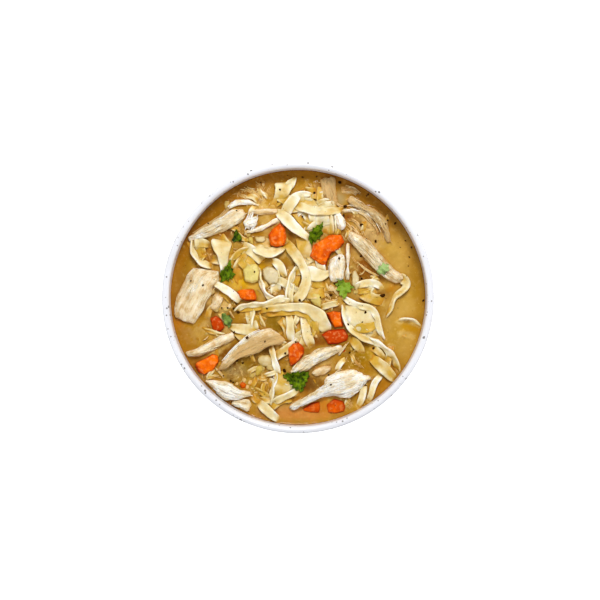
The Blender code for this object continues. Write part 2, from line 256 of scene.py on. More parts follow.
def copy_of_node(node, name):
    """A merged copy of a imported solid, with its place in its mesh."""
    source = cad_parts[node]
    mesh = source.data.copy()
    mesh.materials.clear()
    mesh.transform(source.matrix_world)
    shape = opened(mesh)
    bmesh.ops.remove_doubles(shape, verts=shape.verts, dist=MERGE)
    close(shape, mesh)
    return linked(name, mesh)


def set_tone(piece, values, name="tone"):
    """Store one colour for each vertex."""
    layer = piece.data.color_attributes.new(name, "FLOAT_COLOR", "POINT")
    layer.data.foreach_set("color", [part for value in values for part in value])


def even_tone(piece, tone):
    """Store the same tone all over a piece."""
    set_tone(piece, [(tone, 0.0, 0.0, 1.0)] * len(piece.data.vertices))


def tree_of(pieces):
    """One search tree over the faces of several objects."""
    points = []
    faces = []
    for piece in pieces:
        base = len(points)
        points.extend(vertex.co.copy() for vertex in piece.data.vertices)
        faces.extend([base + index for index in face.vertices] for face in piece.data.polygons)
    return BVHTree.FromPolygons(points, faces)


def finished_pieces(*left_out):
    """All pieces handed in so far, but for those slots."""
    return [piece for piece in bpy.data.objects
            if piece.type == "MESH" and "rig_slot" in piece and piece["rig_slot"] not in left_out]


def hand_in(piece, material, slot, *nodes):
    """Give a finished piece its material and its place in the frame."""
    if not piece.data.polygons:
        raise RuntimeError(f"{piece.name} has no faces")
    piece.data.materials.clear()
    piece.data.materials.append(material)
    pick(piece)
    bpy.ops.object.shade_smooth()
    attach(piece, BODY)
    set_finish(piece, slot)
    if nodes:
        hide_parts(*nodes)


def smooth_line(points, spacing):
    """Points at an even spacing on a smooth curve through a route's own points."""
    places = [Vector(point) for point in points]
    line = []
    for index in range(len(places) - 1):
        a, b = places[index], places[index + 1]
        before = places[index - 1] if index else a * 2 - b
        after = places[index + 2] if index + 2 < len(places) else b * 2 - a
        count = max(2, round((b - a).length / spacing))
        for step in range(count):
            t = step / count
            line.append(0.5 * (2 * a + (b - before) * t + (2 * before - 5 * a + 4 * b - after) * t * t
                               + (3 * a - before - 3 * b + after) * t ** 3))
    line.append(places[-1])
    return line


def wave(place, wavelength, seed=0.0):
    """Smooth noise from -1 to 1 at a place."""
    return noise.noise(Vector(place) / wavelength + Vector((seed, 0.7 * seed, 0.3 * seed)))


def clamp(value, low=0.0, high=1.0):
    """The value, held between two bounds."""
    return max(low, min(high, value))


def scattered(chance, x, y, reach):
    """A random place in a circle, and the direction from its middle to that place."""
    turn, far = chance.uniform(0.0, math.tau), reach * math.sqrt(chance.random())
    return x + far * math.cos(turn), y + far * math.sin(turn), turn


def heading_vector(heading):
    """One step of a millimetre along a heading."""
    return Vector((math.cos(heading), math.sin(heading)))


# ---- material helpers ----

class Recipe:
    """A node tree, with short ways to add to it; a value is a number, a colour or an output."""

    def __init__(self, tree, material=None):
        self.tree = tree
        self.material = material
        self.shader = tree.nodes.get("Principled BSDF")

    def put(self, socket, value):
        if isinstance(value, bpy.types.NodeSocket):
            self.tree.links.new(value, socket)
        elif isinstance(value, (int, float)):
            socket.default_value = value
        else:
            socket.default_value = (*value, 1.0)

    def add(self, kind, inputs=None, **options):
        node = self.tree.nodes.new(kind)
        for name, value in options.items():
            setattr(node, name, value)
        for name, value in (inputs or {}).items():
            self.put(node.inputs[name], value)
        return node

    def noise(self, vector, scale, detail=3.0, roughness=0.5):
        inputs = {"Vector": vector, "Scale": scale, "Detail": detail, "Roughness": roughness}
        return self.add("ShaderNodeTexNoise", inputs).outputs["Fac"]

    def ramp(self, value, low, high, start=0.0, end=1.0):
        inputs = {"Value": value, "From Min": low, "From Max": high, "To Min": start, "To Max": end}
        return self.add("ShaderNodeMapRange", inputs, interpolation_type="SMOOTHSTEP").outputs["Result"]

    def math(self, operation, *values):
        return self.add("ShaderNodeMath", dict(enumerate(values)), operation=operation).outputs[0]

    def plus(self, first, second, share):
        """The first value and a share of the second."""
        return self.math("MULTIPLY_ADD", second, share, first)

    def mix(self, mask, first, second, share=1.0, blend="MIX"):
        """From the first colour to the second, by a share of the mask."""
        if share != 1.0:
            mask = self.math("MULTIPLY", mask, share)
        inputs = {0: mask, 6: first, 7: second}
        return self.add("ShaderNodeMix", inputs, data_type="RGBA", blend_type=blend).outputs[2]

    def object_place(self):
        return self.add("ShaderNodeTexCoord").outputs["Object"]

    def attribute(self, name, output="Color"):
        return self.add("ShaderNodeAttribute", attribute_name=name).outputs[output]

    def split(self, colour):
        return self.add("ShaderNodeSeparateColor", {0: colour}).outputs

    def gap_shade(self, reach, low=0.35, high=0.9):
        """From 1 in a narrow gap to 0 in the open, by ambient occlusion: the mask where shade is painted in
        gaps.
        """
        node = self.add("ShaderNodeAmbientOcclusion", {"Distance": reach}, samples=8)
        return self.ramp(node.outputs["AO"], low, high, 1.0, 0.0)

    def group(self, group, **values):
        inputs = {name.replace("_", " "): value for name, value in values.items()}
        return self.add("ShaderNodeGroup", inputs, node_tree=group).outputs

    def mottle(self, patch_scale, grain_scale):
        """Uneven patches, and fine grain."""
        return self.group(mottle_group(), Patch_Scale=patch_scale, Grain_Scale=grain_scale)

    def wet(self, reach):
        """From 1 at the broth's level to 0 at a reach above it."""
        return self.group(waterline_group(), Level=LEVEL * MM, Reach=reach)["Wet"]

    def soaked(self, colour, tint, reach):
        """A colour that takes the broth's tint near the waterline."""
        return self.mix(self.wet(reach), colour, self.mix(1.0, colour, tint, blend="MULTIPLY"))

    def dots(self, scale, size, rarity):
        """Round dots of uneven size."""
        return self.group(dots_group(), Scale=scale, Size=size, Rarity=rarity)["Dots"]

    def finish(self, colour, height, strength, distance):
        """Feed the colour and the relief to the shader, for the finished material."""
        relief = self.add("ShaderNodeBump", {"Height": height, "Strength": strength, "Distance": distance})
        self.put(self.shader.inputs["Base Color"], colour)
        self.put(self.shader.inputs["Normal"], relief.outputs["Normal"])
        return self.material


def new_material(name, roughness, specular=0.5, glow=0.0, glow_reach=(1.0, 0.5, 0.2), glow_scale=0.002):
    """Start a Principled material; glow is the share of light that passes under the surface."""
    material = bpy.data.materials.new(name)
    material.use_nodes = True
    recipe = Recipe(material.node_tree, material)
    inputs = recipe.shader.inputs
    inputs["Roughness"].default_value = roughness
    inputs["Specular IOR Level"].default_value = specular
    inputs["Subsurface Weight"].default_value = glow
    inputs["Subsurface Radius"].default_value = glow_reach
    inputs["Subsurface Scale"].default_value = glow_scale
    return recipe


def new_group(name, inputs, outputs):
    """Start a shader node group: the group, its recipe, its values and its results."""
    group = bpy.data.node_groups.new(name, "ShaderNodeTree")
    for in_out, sockets in (("INPUT", inputs), ("OUTPUT", outputs)):
        for socket in sockets:
            group.interface.new_socket(socket, in_out=in_out, socket_type="NodeSocketFloat")
    recipe = Recipe(group)
    return group, recipe, recipe.add("NodeGroupInput").outputs, recipe.add("NodeGroupOutput").inputs


def waterline_group():
    """Shared by all food: how wet a place is, from 1 at the broth's level to 0 just above it."""
    if "waterline" in bpy.data.node_groups:
        return bpy.data.node_groups["waterline"]
    group, recipe, values, results = new_group("waterline", ("Level", "Reach"), ("Wet",))
    place = recipe.object_place()
    height = recipe.add("ShaderNodeSeparateXYZ", {0: place}).outputs["Z"]
    ragged = recipe.math("MULTIPLY", recipe.noise(place, 400.0), 0.0012)
    above = recipe.math("SUBTRACT", recipe.math("SUBTRACT", height, values["Level"]), ragged)
    share = recipe.math("DIVIDE", above, values["Reach"])
    recipe.put(results["Wet"], recipe.ramp(share, 0.0, 1.0, 1.0, 0.0))
    return group


def mottle_group():
    """Shared by all food: uneven patches and fine grain."""
    if "mottle" in bpy.data.node_groups:
        return bpy.data.node_groups["mottle"]
    group, recipe, values, results = new_group("mottle", ("Patch Scale", "Grain Scale"), ("Patches", "Grain"))
    place = recipe.object_place()
    for scale, result in (("Patch Scale", "Patches"), ("Grain Scale", "Grain")):
        recipe.put(results[result], recipe.ramp(recipe.noise(place, values[scale]), 0.32, 0.68))
    return group


def dots_group():
    """Shared by the glaze and the broth: in some of many cells, a dot of uneven size."""
    if "dots" in bpy.data.node_groups:
        return bpy.data.node_groups["dots"]
    group, recipe, values, results = new_group("dots", ("Scale", "Size", "Rarity"), ("Dots",))
    cells = recipe.add("ShaderNodeTexVoronoi", {"Vector": recipe.object_place(), "Scale": values["Scale"]})
    chance = recipe.split(cells.outputs["Color"])
    radius = recipe.math("MULTIPLY", chance[1], values["Size"])
    near = recipe.math("LESS_THAN", cells.outputs["Distance"], radius)
    kept = recipe.math("GREATER_THAN", chance[0], values["Rarity"])
    recipe.put(results["Dots"], recipe.math("MULTIPLY", near, kept))
    return group


# Where small torn bits gather between the larger pieces: x, y and radius.
BUSY = (
    (-38, -48, 13), (-24, -50, 10), (-55, -25, 8), (-49, -3, 8), (-14, 8, 8), (-29, -30, 7), (14, -3, 8),
    (23, 3, 8), (38, 17, 7), (46, 50, 11), (36, 42, 8), (-31, 70, 10), (-38, 42, 7), (12, 70, 8), (20, 47, 6),
    (0, -22, 7), (36, -41, 8), (-26, -63, 7), (-62, 28, 4), (-11, -36, 7), (31, -8, 5), (46, 8, 6),
    (-25, 66, 8), (-47, 30, 5), (5, 62, 6), (26, 40, 6), (-60, -51, 5), (33, -70, 5),
)


# ---- bowl ----

def glaze_material(settings):
    """White glaze with sparse iron specks of two sizes."""
    recipe = new_material("speckled_glaze", 0.16)
    place = recipe.object_place()
    shaded = [0.955 * part for part in settings.glaze]
    colour = recipe.mix(recipe.ramp(recipe.noise(place, 28.0), 0.35, 0.7), settings.glaze, shaded)
    for scale, size, rarity in ((200.0, 0.24, 0.40), (430.0, 0.30, 0.55)):
        colour = recipe.mix(recipe.dots(scale, size, rarity), colour, settings.speck, 0.85)
    roughness = recipe.ramp(recipe.noise(place, 90.0), 0.3, 0.7, 0.12, 0.22)
    recipe.put(recipe.shader.inputs["Roughness"], roughness)
    return recipe.finish(colour, recipe.noise(place, 55.0), 0.12, 0.0006)


def bowl_profile(settings):
    """Radius and height from the middle of the bowl's floor, over the lip and down to its underside."""
    wall = settings.wall / MM
    foot = settings.foot_radius / MM
    foot_width, foot_height, lip = 6.0, 3.0, 3.0
    inner_rise, outer_rise = 42.0, 45.0
    floor = INNER_FLOOR - 0.3
    flat = foot - foot_width
    steps = 18
    points = [(0.0, floor)]
    for step in range(steps + 1):
        turn = math.radians(90.0) * step / steps
        points.append((flat + (RIM_RADIUS - wall - flat) * math.sin(turn),
                       floor + inner_rise * (1.0 - math.cos(turn))))
    for step in range(steps + 1):
        turn = math.radians(180.0) * step / steps
        points.append((RIM_RADIUS - wall / 2.0 - wall / 2.0 * math.cos(turn),
                       RIM_HEIGHT - lip + lip * math.sin(turn)))
    for step in range(steps + 1):
        turn = math.radians(90.0) * (1.0 - step / steps)
        points.append((foot + (RIM_RADIUS - foot) * math.sin(turn),
                       foot_height + outer_rise * (1.0 - math.cos(turn))))
    points += [(foot - 0.1, 1.2), (foot - 0.6, 0.2), (foot - 0.9, 0.0), (flat + 0.9, 0.0), (flat + 0.4, 0.3),
               (flat, foot_height - 0.4), (flat - 0.5, foot_height), (0.0, foot_height)]
    return points


def build_bowl(settings):
    """Draw the profile from one vertex and spin it about the bowl's axis."""
    profile = bowl_profile(settings)
    bpy.ops.object.select_all(action="DESELECT")
    bpy.ops.mesh.primitive_plane_add(size=MM)
    bowl = bpy.context.object
    bowl.name = "stoneware_bowl"
    bpy.ops.object.mode_set(mode="EDIT")
    bpy.ops.mesh.select_all(action="SELECT")
    bpy.ops.mesh.merge(type="CENTER")
    bpy.ops.transform.translate(value=(0.0, 0.0, profile[0][1] * MM))
    for before, after in zip(profile, profile[1:]):
        step = ((after[0] - before[0]) * MM, 0.0, (after[1] - before[1]) * MM)
        bpy.ops.mesh.extrude_region_move(TRANSFORM_OT_translate={"value": step})
    bpy.ops.mesh.select_all(action="SELECT")
    bpy.ops.mesh.spin(steps=settings.turn_steps, angle=math.tau, center=(0, 0, 0), axis=(0, 0, 1))
    bpy.ops.mesh.select_all(action="SELECT")
    bpy.ops.mesh.remove_doubles(threshold=MERGE)
    bpy.ops.mesh.normals_make_consistent(inside=False)
    bpy.ops.object.mode_set(mode="OBJECT")
    true_edge = 4.0 * MM
    for vertex in bowl.data.vertices:
        hand = wave(vertex.co, 0.06, 3.0) * 0.4 * MM
        if true_edge < vertex.co.z < RIM_HEIGHT * MM - true_edge:
            vertex.co += Vector((vertex.co.x, vertex.co.y, 0.0)).normalized() * hand
    hand_in(bowl, glaze_material(settings), "stoneware", "bowl")


# ---- noodles ----

# Each ribbon: its tone from 0, pale, to 1, soaked; then points of x, y, height over the broth,
# width and lean in degrees.  A lean above 0 lifts the edge on the left of the way along.
RIBBONS = {
    "curl_back": (0.27, ((-17, 60.5, -0.8, 4, 0), (-13.5, 65, 1.2, 6.5, 5), (-10.8, 70, 2.6, 9.5, 5),
        (-9.5, 74, 3, 12, 0), (-9.8, 77, 2.4, 12.5, 0))),
    "curl_back_tip": (0.1, ((-8, 72, 1.8, 6, 0), (-4.8, 76, 2.7, 6, 0), (-1.6, 80.5, 1.6, 1.6, 0))),
    "wide_back": (-0.2, ((-10, 54, 1.2, 6, 0), (-7, 59.5, 2.9, 8, 0), (-3.5, 64.5, 3, 8, 5),
        (0, 68, 2.6, 5.5, 10), (5, 69.3, 2, 4, 10), (10, 68.5, 0.8, 2.5, 0))),
    "band_back": (0.38, ((-3, 62, 1.5, 5, 0), (2, 60.5, 3, 6.5, -15), (9, 58, 3.3, 6.5, -25),
        (18, 57.3, 3.3, 6, -25), (25, 57.8, 2.4, 5, -10), (31, 59.5, 0.8, 3.5, 0))),
    "band_middle_back": (0, ((-15, 57.5, 0.5, 4, 0), (-11, 55.5, 3, 7, 5), (-7, 51.5, 4, 8.5, 0),
        (-2, 46.5, 4.2, 7.5, -5), (3, 42.5, 3.6, 5.5, -10), (7, 39.5, 2, 4, -15), (9, 36, -1, 3, -20))),
    "ramp_yellow": (0.9, ((-2, 57, 1.6, 6, -10), (2, 52.5, 0.9, 7, -15), (6, 47, -0.2, 6, -15),
        (8, 43.5, -2, 5, -10))),
    "arm_back": (0.12, ((10, 58.5, 2.5, 7, 0), (9.5, 53, 2.2, 4.5, 15), (10.5, 48, 1.2, 3, 20))),
    "patch_leaf": (0, ((14, 58, 2.4, 9, 0), (16, 52.5, 2.2, 10.5, 0), (17.5, 47, 1.4, 9, 0),
        (18, 42, 0, 6, 0))),
    "fold_a": (0.1, ((20.5, 57, 2, 4.5, 30), (22, 51, 2.6, 4.5, 35), (22.5, 45, 1.8, 4.5, 25),
        (22, 41, 0.5, 3, 0))),
    "fold_b": (0.05, ((24.5, 55, 2.5, 3, 50), (25, 48, 2.8, 3.4, 50), (24.5, 42.5, 1, 3.5, 40))),
    "strand_back": (0.3, ((9, 60, 0.5, 3, 10), (14, 63.5, 1.8, 3.5, 10), (20, 64.5, 2, 3.5, 10),
        (25, 62, 1, 3, 0))),
    "strand_back_low": (0.6, ((12, 61, 0.6, 3, 0), (17, 61, 1.2, 3.5, 0), (22, 61, 0.8, 3, 0))),
    "sunk_back_a": (0.7, ((-3, 70.5, -0.5, 3, 0), (2, 73, -0.4, 3, 0), (7, 77.5, -0.7, 3, 0))),
    "sunk_back_b": (0.7, ((1, 69.8, -0.8, 2.5, 0), (5, 72, -0.6, 2.5, 0), (9, 76, -0.9, 2.5, 0))),
    "long_centre": (0.3, ((-7.5, 36.5, 0.5, 5, 0), (-4.5, 32.5, 2.8, 7, 5), (-1, 27.5, 3.4, 6.6, 5),
        (2.2, 22.5, 3.5, 5.8, 0), (4.6, 17, 3.4, 5.8, -8), (5.6, 11.5, 3.2, 6.6, -5), (4.2, 5.5, 3, 7.2, 10),
        (0.5, 0, 2.6, 7, 5), (-3.5, -4, 1.6, 6, 0))),
    "sheet_ochre": (0.3, ((1, 42, 0.2, 8, 0), (3.5, 37, 1.2, 10, -5), (5, 31, 1.4, 9.5, -5),
        (7, 25, 1, 7, 0))),
    "patch_centre": (0, ((4, 18, 2, 6, 5), (9, 16.2, 3, 10, 12), (14, 14.6, 3.1, 8.5, -8),
        (19, 15.6, 2.4, 5, 10), (22, 17, 1.2, 3, 0))),
    # Painted shadow: a soaked, darker ribbon where the patch above casts its shadow.
    "patch_centre_low": (0.75, ((7, 9, 1.2, 5, 0), (13, 8.5, 1.4, 5, 0), (19, 9, 0.8, 5, 0))),
    "rim_hollow": (0.08, ((1, 23, 2, 3, 0), (-2.5, 18.5, 2.6, 3, -40), (-5, 13, 2.8, 3.2, -45),
        (-6.2, 7.5, 2.8, 3.4, -45), (-7, 2, 2.2, 3.5, -35), (-7, -2, 1, 3, -10))),
    "hollow_centre": (1.4, ((0.3, 18, 0.9, 3.5, 0), (-0.8, 12, 0.8, 4.5, 0), (-3, 6, 0.9, 4.5, 0),
        (-4.5, 1, 1, 4, 0))),
    "fold_centre": (0.15, ((-3.2, 9, 1.8, 2.6, 30), (-4.3, 4, 2.4, 3.2, 30), (-5, -1, 2.4, 3.5, 10),
        (-4.5, -5, 1.5, 3.5, 0))),
    "cup_carrot": (0.1, ((-30, 36.5, 0, 5, 0), (-27.5, 32.5, 1.8, 7.5, -25), (-21, 30, 2.6, 8.5, -35),
        (-14, 30.3, 2.6, 6.5, -35), (-9.5, 33.5, 1.5, 4, -20), (-8, 37, 0, 3, 0))),
    "wedge": (0.03, ((-17.5, 24.5, 0.8, 4, 0), (-14, 23, 2.8, 6.5, 0), (-11.5, 19.5, 2.8, 6, 10),
        (-9.2, 15.5, 1.8, 4.5, 20), (-7.6, 12, 0.2, 3, 20))),
    "edge_left": (0.03, ((-25.8, 19, 1, 3, 50), (-25.2, 13, 2.3, 3.6, 55), (-23.6, 7, 2.6, 3.8, 55),
        (-21, 2, 2.2, 4, 45), (-16.5, -1.5, 1.4, 4.5, 20), (-12, -3, 1, 4, 10))),
    "band_left": (0.05, ((-57, 9.5, 0.6, 4, -10), (-52, 7.4, 2.8, 5.2, -18), (-46.5, 4, 3.3, 5.6, -18),
        (-42, 0.5, 3.1, 6, -10), (-38.5, -2.5, 1.5, 5, 0))),
    # Painted shadow: a soaked ribbon along the band's shaded lower side.
    "band_left_under": (0.8, ((-54, 4, 0.5, 4, 0), (-48, 1, 0.8, 5, 0), (-44, -3, 0.7, 5, 0))),
    "loop_left": (0.04, ((-69, 39.5, 1, 4, 0), (-71, 36, 2.4, 4.5, -50), (-70.5, 31, 2.8, 4.5, -55),
        (-68.5, 26.5, 2.8, 4.5, -55), (-65, 23, 2.6, 5, -50), (-60.5, 21.5, 1.8, 5, -30),
        (-57, 20.5, 0.6, 4, 0))),
    "loop_left_top": (0.18, ((-71, 36.5, 1.8, 5, 0), (-66.5, 36.3, 2, 7, 0), (-62, 36, 1.8, 6, 0),
        (-59.5, 35, 1.4, 4, 0))),
    "loop_left_inner": (0.4, ((-69, 33, 1, 4, 0), (-66, 31, 0.9, 5, 0), (-65, 27.5, 0.4, 4, 0))),
    "triangle_left": (0.05, ((-51.5, 38.8, 1.4, 13, 0), (-51.2, 36, 3.2, 14, -5),
        (-50.7, 31.5, 3.4, 10.5, -10), (-50, 26.5, 3, 7.5, -20), (-50.2, 21, 2.4, 5, -30),
        (-50.5, 15, 1, 4, -30))),
    "triangle_left_side": (0.9, ((-45.5, 37, 0.8, 3, 0), (-45, 31, 0.9, 3.5, 0), (-46, 25, 0.6, 3, 0))),
    "arc_left": (0.35, ((-45, 19, 0, 3.5, 20), (-44.5, 24, 1.6, 4, 35), (-41.5, 28.8, 2.2, 4.5, 35),
        (-36, 31.8, 2.2, 4.5, 30), (-30, 33, 1.2, 4, 15))),
    "soaked_left": (1, ((-41, 27, -0.3, 7, 0), (-41.5, 19, 0.2, 7, 0), (-39, 11, -0.2, 6, 0),
        (-36, 6, -1, 5, 0))),
    "soaked_top": (1, ((-35, 27, -0.8, 6, 0), (-27, 26, -0.6, 6, 0), (-20, 27, -1, 5, 0))),
    "line_centre": (0.02, ((-43, -10.5, -0.8, 3, 30), (-39, -6.8, 1.8, 4, 40), (-33, -4.9, 3, 4.5, 45),
        (-26, -4.8, 3.1, 4.3, 45), (-19, -3.8, 3.1, 4.5, 40), (-13, -1.2, 3.1, 5.5, 20),
        (-8, -0.8, 2.4, 4.5, 0))),
    "line_centre_under": (0.6, ((-40, -8.5, 0.5, 3, 0), (-34, -8, 1.2, 3.5, 0), (-28, -7.4, 1.2, 3.2, 0),
        (-21, -6.8, 1.2, 3, 0))),
    "patch_line": (0.12, ((-19, -2.5, 1.2, 6, 0), (-12, -3.2, 2, 7, 0), (-5, -4, 2, 7, 0))),
    "band_centre": (0.05, ((-27, -9.5, -0.5, 4, 0), (-20, -7.6, 2, 4.6, 15), (-11, -6.8, 2.9, 5.2, 20),
        (-2, -6.4, 3.3, 5.6, 20), (5, -7, 3.6, 7, 20), (11, -10, 3.7, 9, 20), (15.5, -14.5, 3.5, 10, 20),
        (18, -19.5, 2.6, 9, 15), (19.5, -23, 1.2, 7, 0))),
    "band_centre_under": (0.6, ((-24, -11.5, -0.3, 4, 0), (-14, -10.5, 0.6, 4.5, 0), (-4, -10, 1.2, 4, 0),
        (5, -11.5, 1.6, 4.5, 0), (9.5, -17, 1.4, 5, 0), (12, -24, 0.3, 4, 0))),
    "bar_left": (0.03, ((-30.2, -8, 2.2, 3.5, 55), (-30.6, -13, 2.3, 3.5, 60), (-31.5, -18, 2.3, 4, 50),
        (-33, -21, 1.5, 4, 30))),
    "triangle_low": (0.12, ((-46.5, -19.5, 0.8, 3, 0), (-42, -20.5, 2.2, 6, 0), (-36, -21.5, 2.6, 7.5, 0),
        (-31, -21.5, 2.4, 7.5, 0), (-28, -20.5, 1.6, 6, 0))),
    "triangle_low_end": (0.3, ((-42, -23, 1.2, 5, 0), (-37, -26.5, 1.6, 7, 0), (-33, -30, 0.6, 6, 0))),
    "line_thin": (0.1, ((-26, -11, 1, 2.4, 60), (-24.3, -15, 2, 2.8, 62), (-22, -20.5, 0.8, 2.5, 50))),
    "post_left": (0.03, ((-6, -11.5, 1, 4, 10), (-5.3, -17, 2.4, 5.5, 20), (-5, -23, 2.6, 6, 25),
        (-4.8, -29, 1.2, 5.5, 20))),
    "post_fork": (0.05, ((0.5, -11, 1.2, 4, -20), (-1.2, -15, 2, 3.5, -20), (-3, -18.5, 2.2, 3, 0))),
    "post_right": (0.1, ((3.5, -13, 1.5, 4.5, -10), (4.5, -18, 2.2, 5.5, -20), (5.5, -24, 2.4, 6.5, -10),
        (7.5, -29, 2, 7, 0), (9, -33, 0.5, 5, 0))),
    "post_inner": (0.9, ((0.5, -16, 0.6, 4, 0), (0.3, -22, 0.5, 4, 0), (0.8, -28, -0.5, 4, 0))),
    "post_side": (0.45, ((7, -12, 1.6, 6, 10), (10.5, -16.5, 1.7, 6, 10), (12, -22, 1.2, 5, 10),
        (12.5, -27, 0, 4, 0))),
    "sheet_right_top": (0, ((29, 1, 0.6, 3.5, 0), (33.5, -2, 2.4, 4, 30), (39, -5, 3.2, 4.4, 30),
        (45, -6.5, 3.6, 4.6, 20), (50, -8.5, 3.4, 4.8, 15), (52.5, -12.5, 3.2, 4.4, 20),
        (54, -18, 2.6, 4, 30), (55.5, -24, 2, 4, 40), (57.5, -29, 0, 4, 30))),
    "sheet_right_edge": (0, ((30.5, -5, 0.8, 4, -20), (31, -11, 2.6, 4, -30), (32.5, -17, 3, 4.2, -35),
        (36.5, -22.5, 3.2, 4.6, -35), (42, -26.5, 3, 5, -35), (48.5, -29, 2.2, 5, -20),
        (54, -30.5, 0.6, 4.5, 0))),
    "sheet_right_floor": (-0.1, ((34, -4, 1.8, 8, 0), (38, -9.5, 2, 16, 0), (43, -15, 1.8, 19, 0),
        (47.5, -21, 1.3, 14, 0), (51, -26, 0.6, 8, 0))),
    "sheet_right_fold": (0.7, ((36, -18, 1.9, 5, 0), (41, -20.5, 2.2, 7, 0), (46.5, -20.5, 2.3, 7, 0),
        (52, -18, 2, 5, 0))),
    "loop_right": (0.06, ((46, -27.5, 1.5, 4, 30), (52, -30.2, 2.6, 5, 40), (58, -33.6, 2.7, 5, 45),
        (63, -38.5, 2.3, 5, 45), (66, -44.5, 1.6, 5, 40), (67, -50.5, 0.2, 4.5, 30))),
    "loop_right_inner": (0.3, ((48.5, -40, 0.2, 5, 0), (52.5, -43, 2.2, 7.5, 0), (57.5, -47.5, 2.6, 8.5, 5),
        (62, -52, 2.2, 7, 5), (65.5, -55.5, 0.8, 4, 5))),
    "curl_right": (0.25, ((34.5, -27.5, 0.6, 5, 0), (38.5, -30.5, 1.9, 7, 10), (41.5, -34.5, 1.4, 6, 10),
        (42.5, -37.5, 0, 4, 0))),
    "stem_front": (0.05, ((-18, -33, 1, 4, 10), (-16.5, -39, 2.4, 4.4, 25), (-14.8, -45, 2.6, 4.4, 25),
        (-13.5, -51, 2.2, 5, 10))),
    "stem_front_side": (0.3, ((-24, -52.5, 0.6, 2.5, 0), (-19, -51.5, 1.6, 3, 0), (-14, -49.5, 2.2, 3.5, 0))),
    "sheet_front": (0.72, ((-12.5, -50, 2, 5, 0), (-11.5, -55, 2.6, 9, -10), (-10.5, -60, 2.8, 12, -10),
        (-12.5, -65, 2.2, 10, 0), (-15.5, -69.5, 1, 5, 0))),
    "sheet_front_band": (0.08, ((-18.5, -72.5, 0.5, 4, 10), (-15, -69.2, 2.4, 5, 20), (-9, -66.4, 2.8, 5, 20),
        (-3, -63.4, 2.4, 4.5, 20), (1, -61, 1, 3.5, 0))),
    "sheet_front_edge": (0.03, ((-14.5, -51, 2.2, 3.5, 50), (-15.6, -57, 2.6, 4, 55), (-17, -64, 2.6, 4, 55),
        (-18.6, -72, 1, 3.5, 40))),
    "ribbon_right": (0.12, ((66, 13, 1, 6, 0), (70.5, 12.5, 2.2, 8, 10), (73, 8.5, 2.2, 6, 20),
        (69.5, 4, 1.8, 4.5, 20), (65, 0.5, 1.5, 4, 30), (63.3, -4, 1.5, 3.5, 40), (61.5, -9, 1.2, 3.5, 40),
        (58, -14, 0, 3, 30))),
    "sunk_right": (0.4, ((67, -25, -0.7, 4, 0), (72, -24.6, -0.4, 4.5, 0), (78, -27.5, -0.7, 4, 0))),
    "tail_front_a": (0, ((56, -51.5, 0, 4, 0), (52.5, -55.5, 1.9, 4.5, 10), (50, -60.5, 2.3, 4.5, 15),
        (48.5, -66, 2, 4, 15), (46.5, -70.5, 0.5, 3.5, 0))),
    "tail_front_b": (0, ((44.5, -58, 0, 4, 0), (43.5, -63, 2.2, 5, 10), (42.5, -68, 2, 4.5, 10),
        (39.5, -74.5, 0.5, 3.5, 0))),
    "arch_right": (0.05, ((37, 6, 0.5, 4, 0), (42, 8.7, 2.2, 5, 10), (48, 9.7, 2.4, 5, 10),
        (53.5, 8.6, 2, 5, 0), (56.5, 5.5, 0.6, 4, 0))),
    "arch_right_inner": (0.15, ((39, 4, 0.6, 5, 0), (46, 5, 1, 6, 0), (53, 4.5, 0.6, 5, 0))),
    "line_front": (0.2, ((-30, -60.5, 0.3, 3, 20), (-26, -62.5, 1.3, 3.8, 30), (-21, -65.5, 1.2, 3.8, 20),
        (-18, -68, 0.4, 3, 0))),
    "under_carrot": (0.15, ((14, -7, 0.5, 4, 0), (19, -5.6, 2, 4.5, 10), (24, -4.2, 1.9, 4.5, 10),
        (28, -3.6, 0.2, 3.5, 0))),
    "line_low_left": (0.3, ((-66, -20.5, -0.3, 2.5, 20), (-59, -22.5, 0.9, 3.2, 30), (-51, -24.8, 0.7, 3, 20),
        (-46, -25, -0.4, 3, 0))),
}
# Ribbons that lie lower in the heap, seen between the upper ones: x, y, spread and how many.
SECOND_LAYER = (
    (3, 14, 18, 11), (2, -20, 11, 7), (3, 52, 14, 8), (-34, 18, 10, 3), (41, -13, 10, 3), (-50, 30, 7, 2),
    (12, 66, 8, 4), (-14, -64, 7, 3), (-30, -17, 8, 3), (-22, 33, 8, 2), (20, 48, 8, 4), (-3, -38, 7, 2),
    (50, 5, 7, 2), (55, -42, 8, 2), (-68, 32, 4, 2),
)
# The ends of a ribbon dip under: how deep, over what length, and how much narrower they get.
END_DIP = 1.5
END_REACH = 5.0
END_TAPER = 0.12
# The ribbons of the heap's sunk core: how many, how far out they start and may reach.
CORE_COUNT = 90
CORE_START = 66.0
CORE_REACH = 76.0
# The two ribbons that lie apart in the broth stand for solids of their own.
APART = {
    "noodle_front": (0, ((-27, -69.5, 0.2, 5, 0), (-23, -73.5, 1.9, 6.5, 0), (-18, -78, 2.1, 6.5, 0),
        (-13, -82, 1.2, 5, 0))),
    "noodle_right": (0.05, ((66, -17, -0.8, 3, 40), (70, -15.4, 1, 5, 50), (76, -15.2, 1.2, 5.5, 50),
        (82, -19.8, 0, 4, 40))),
}


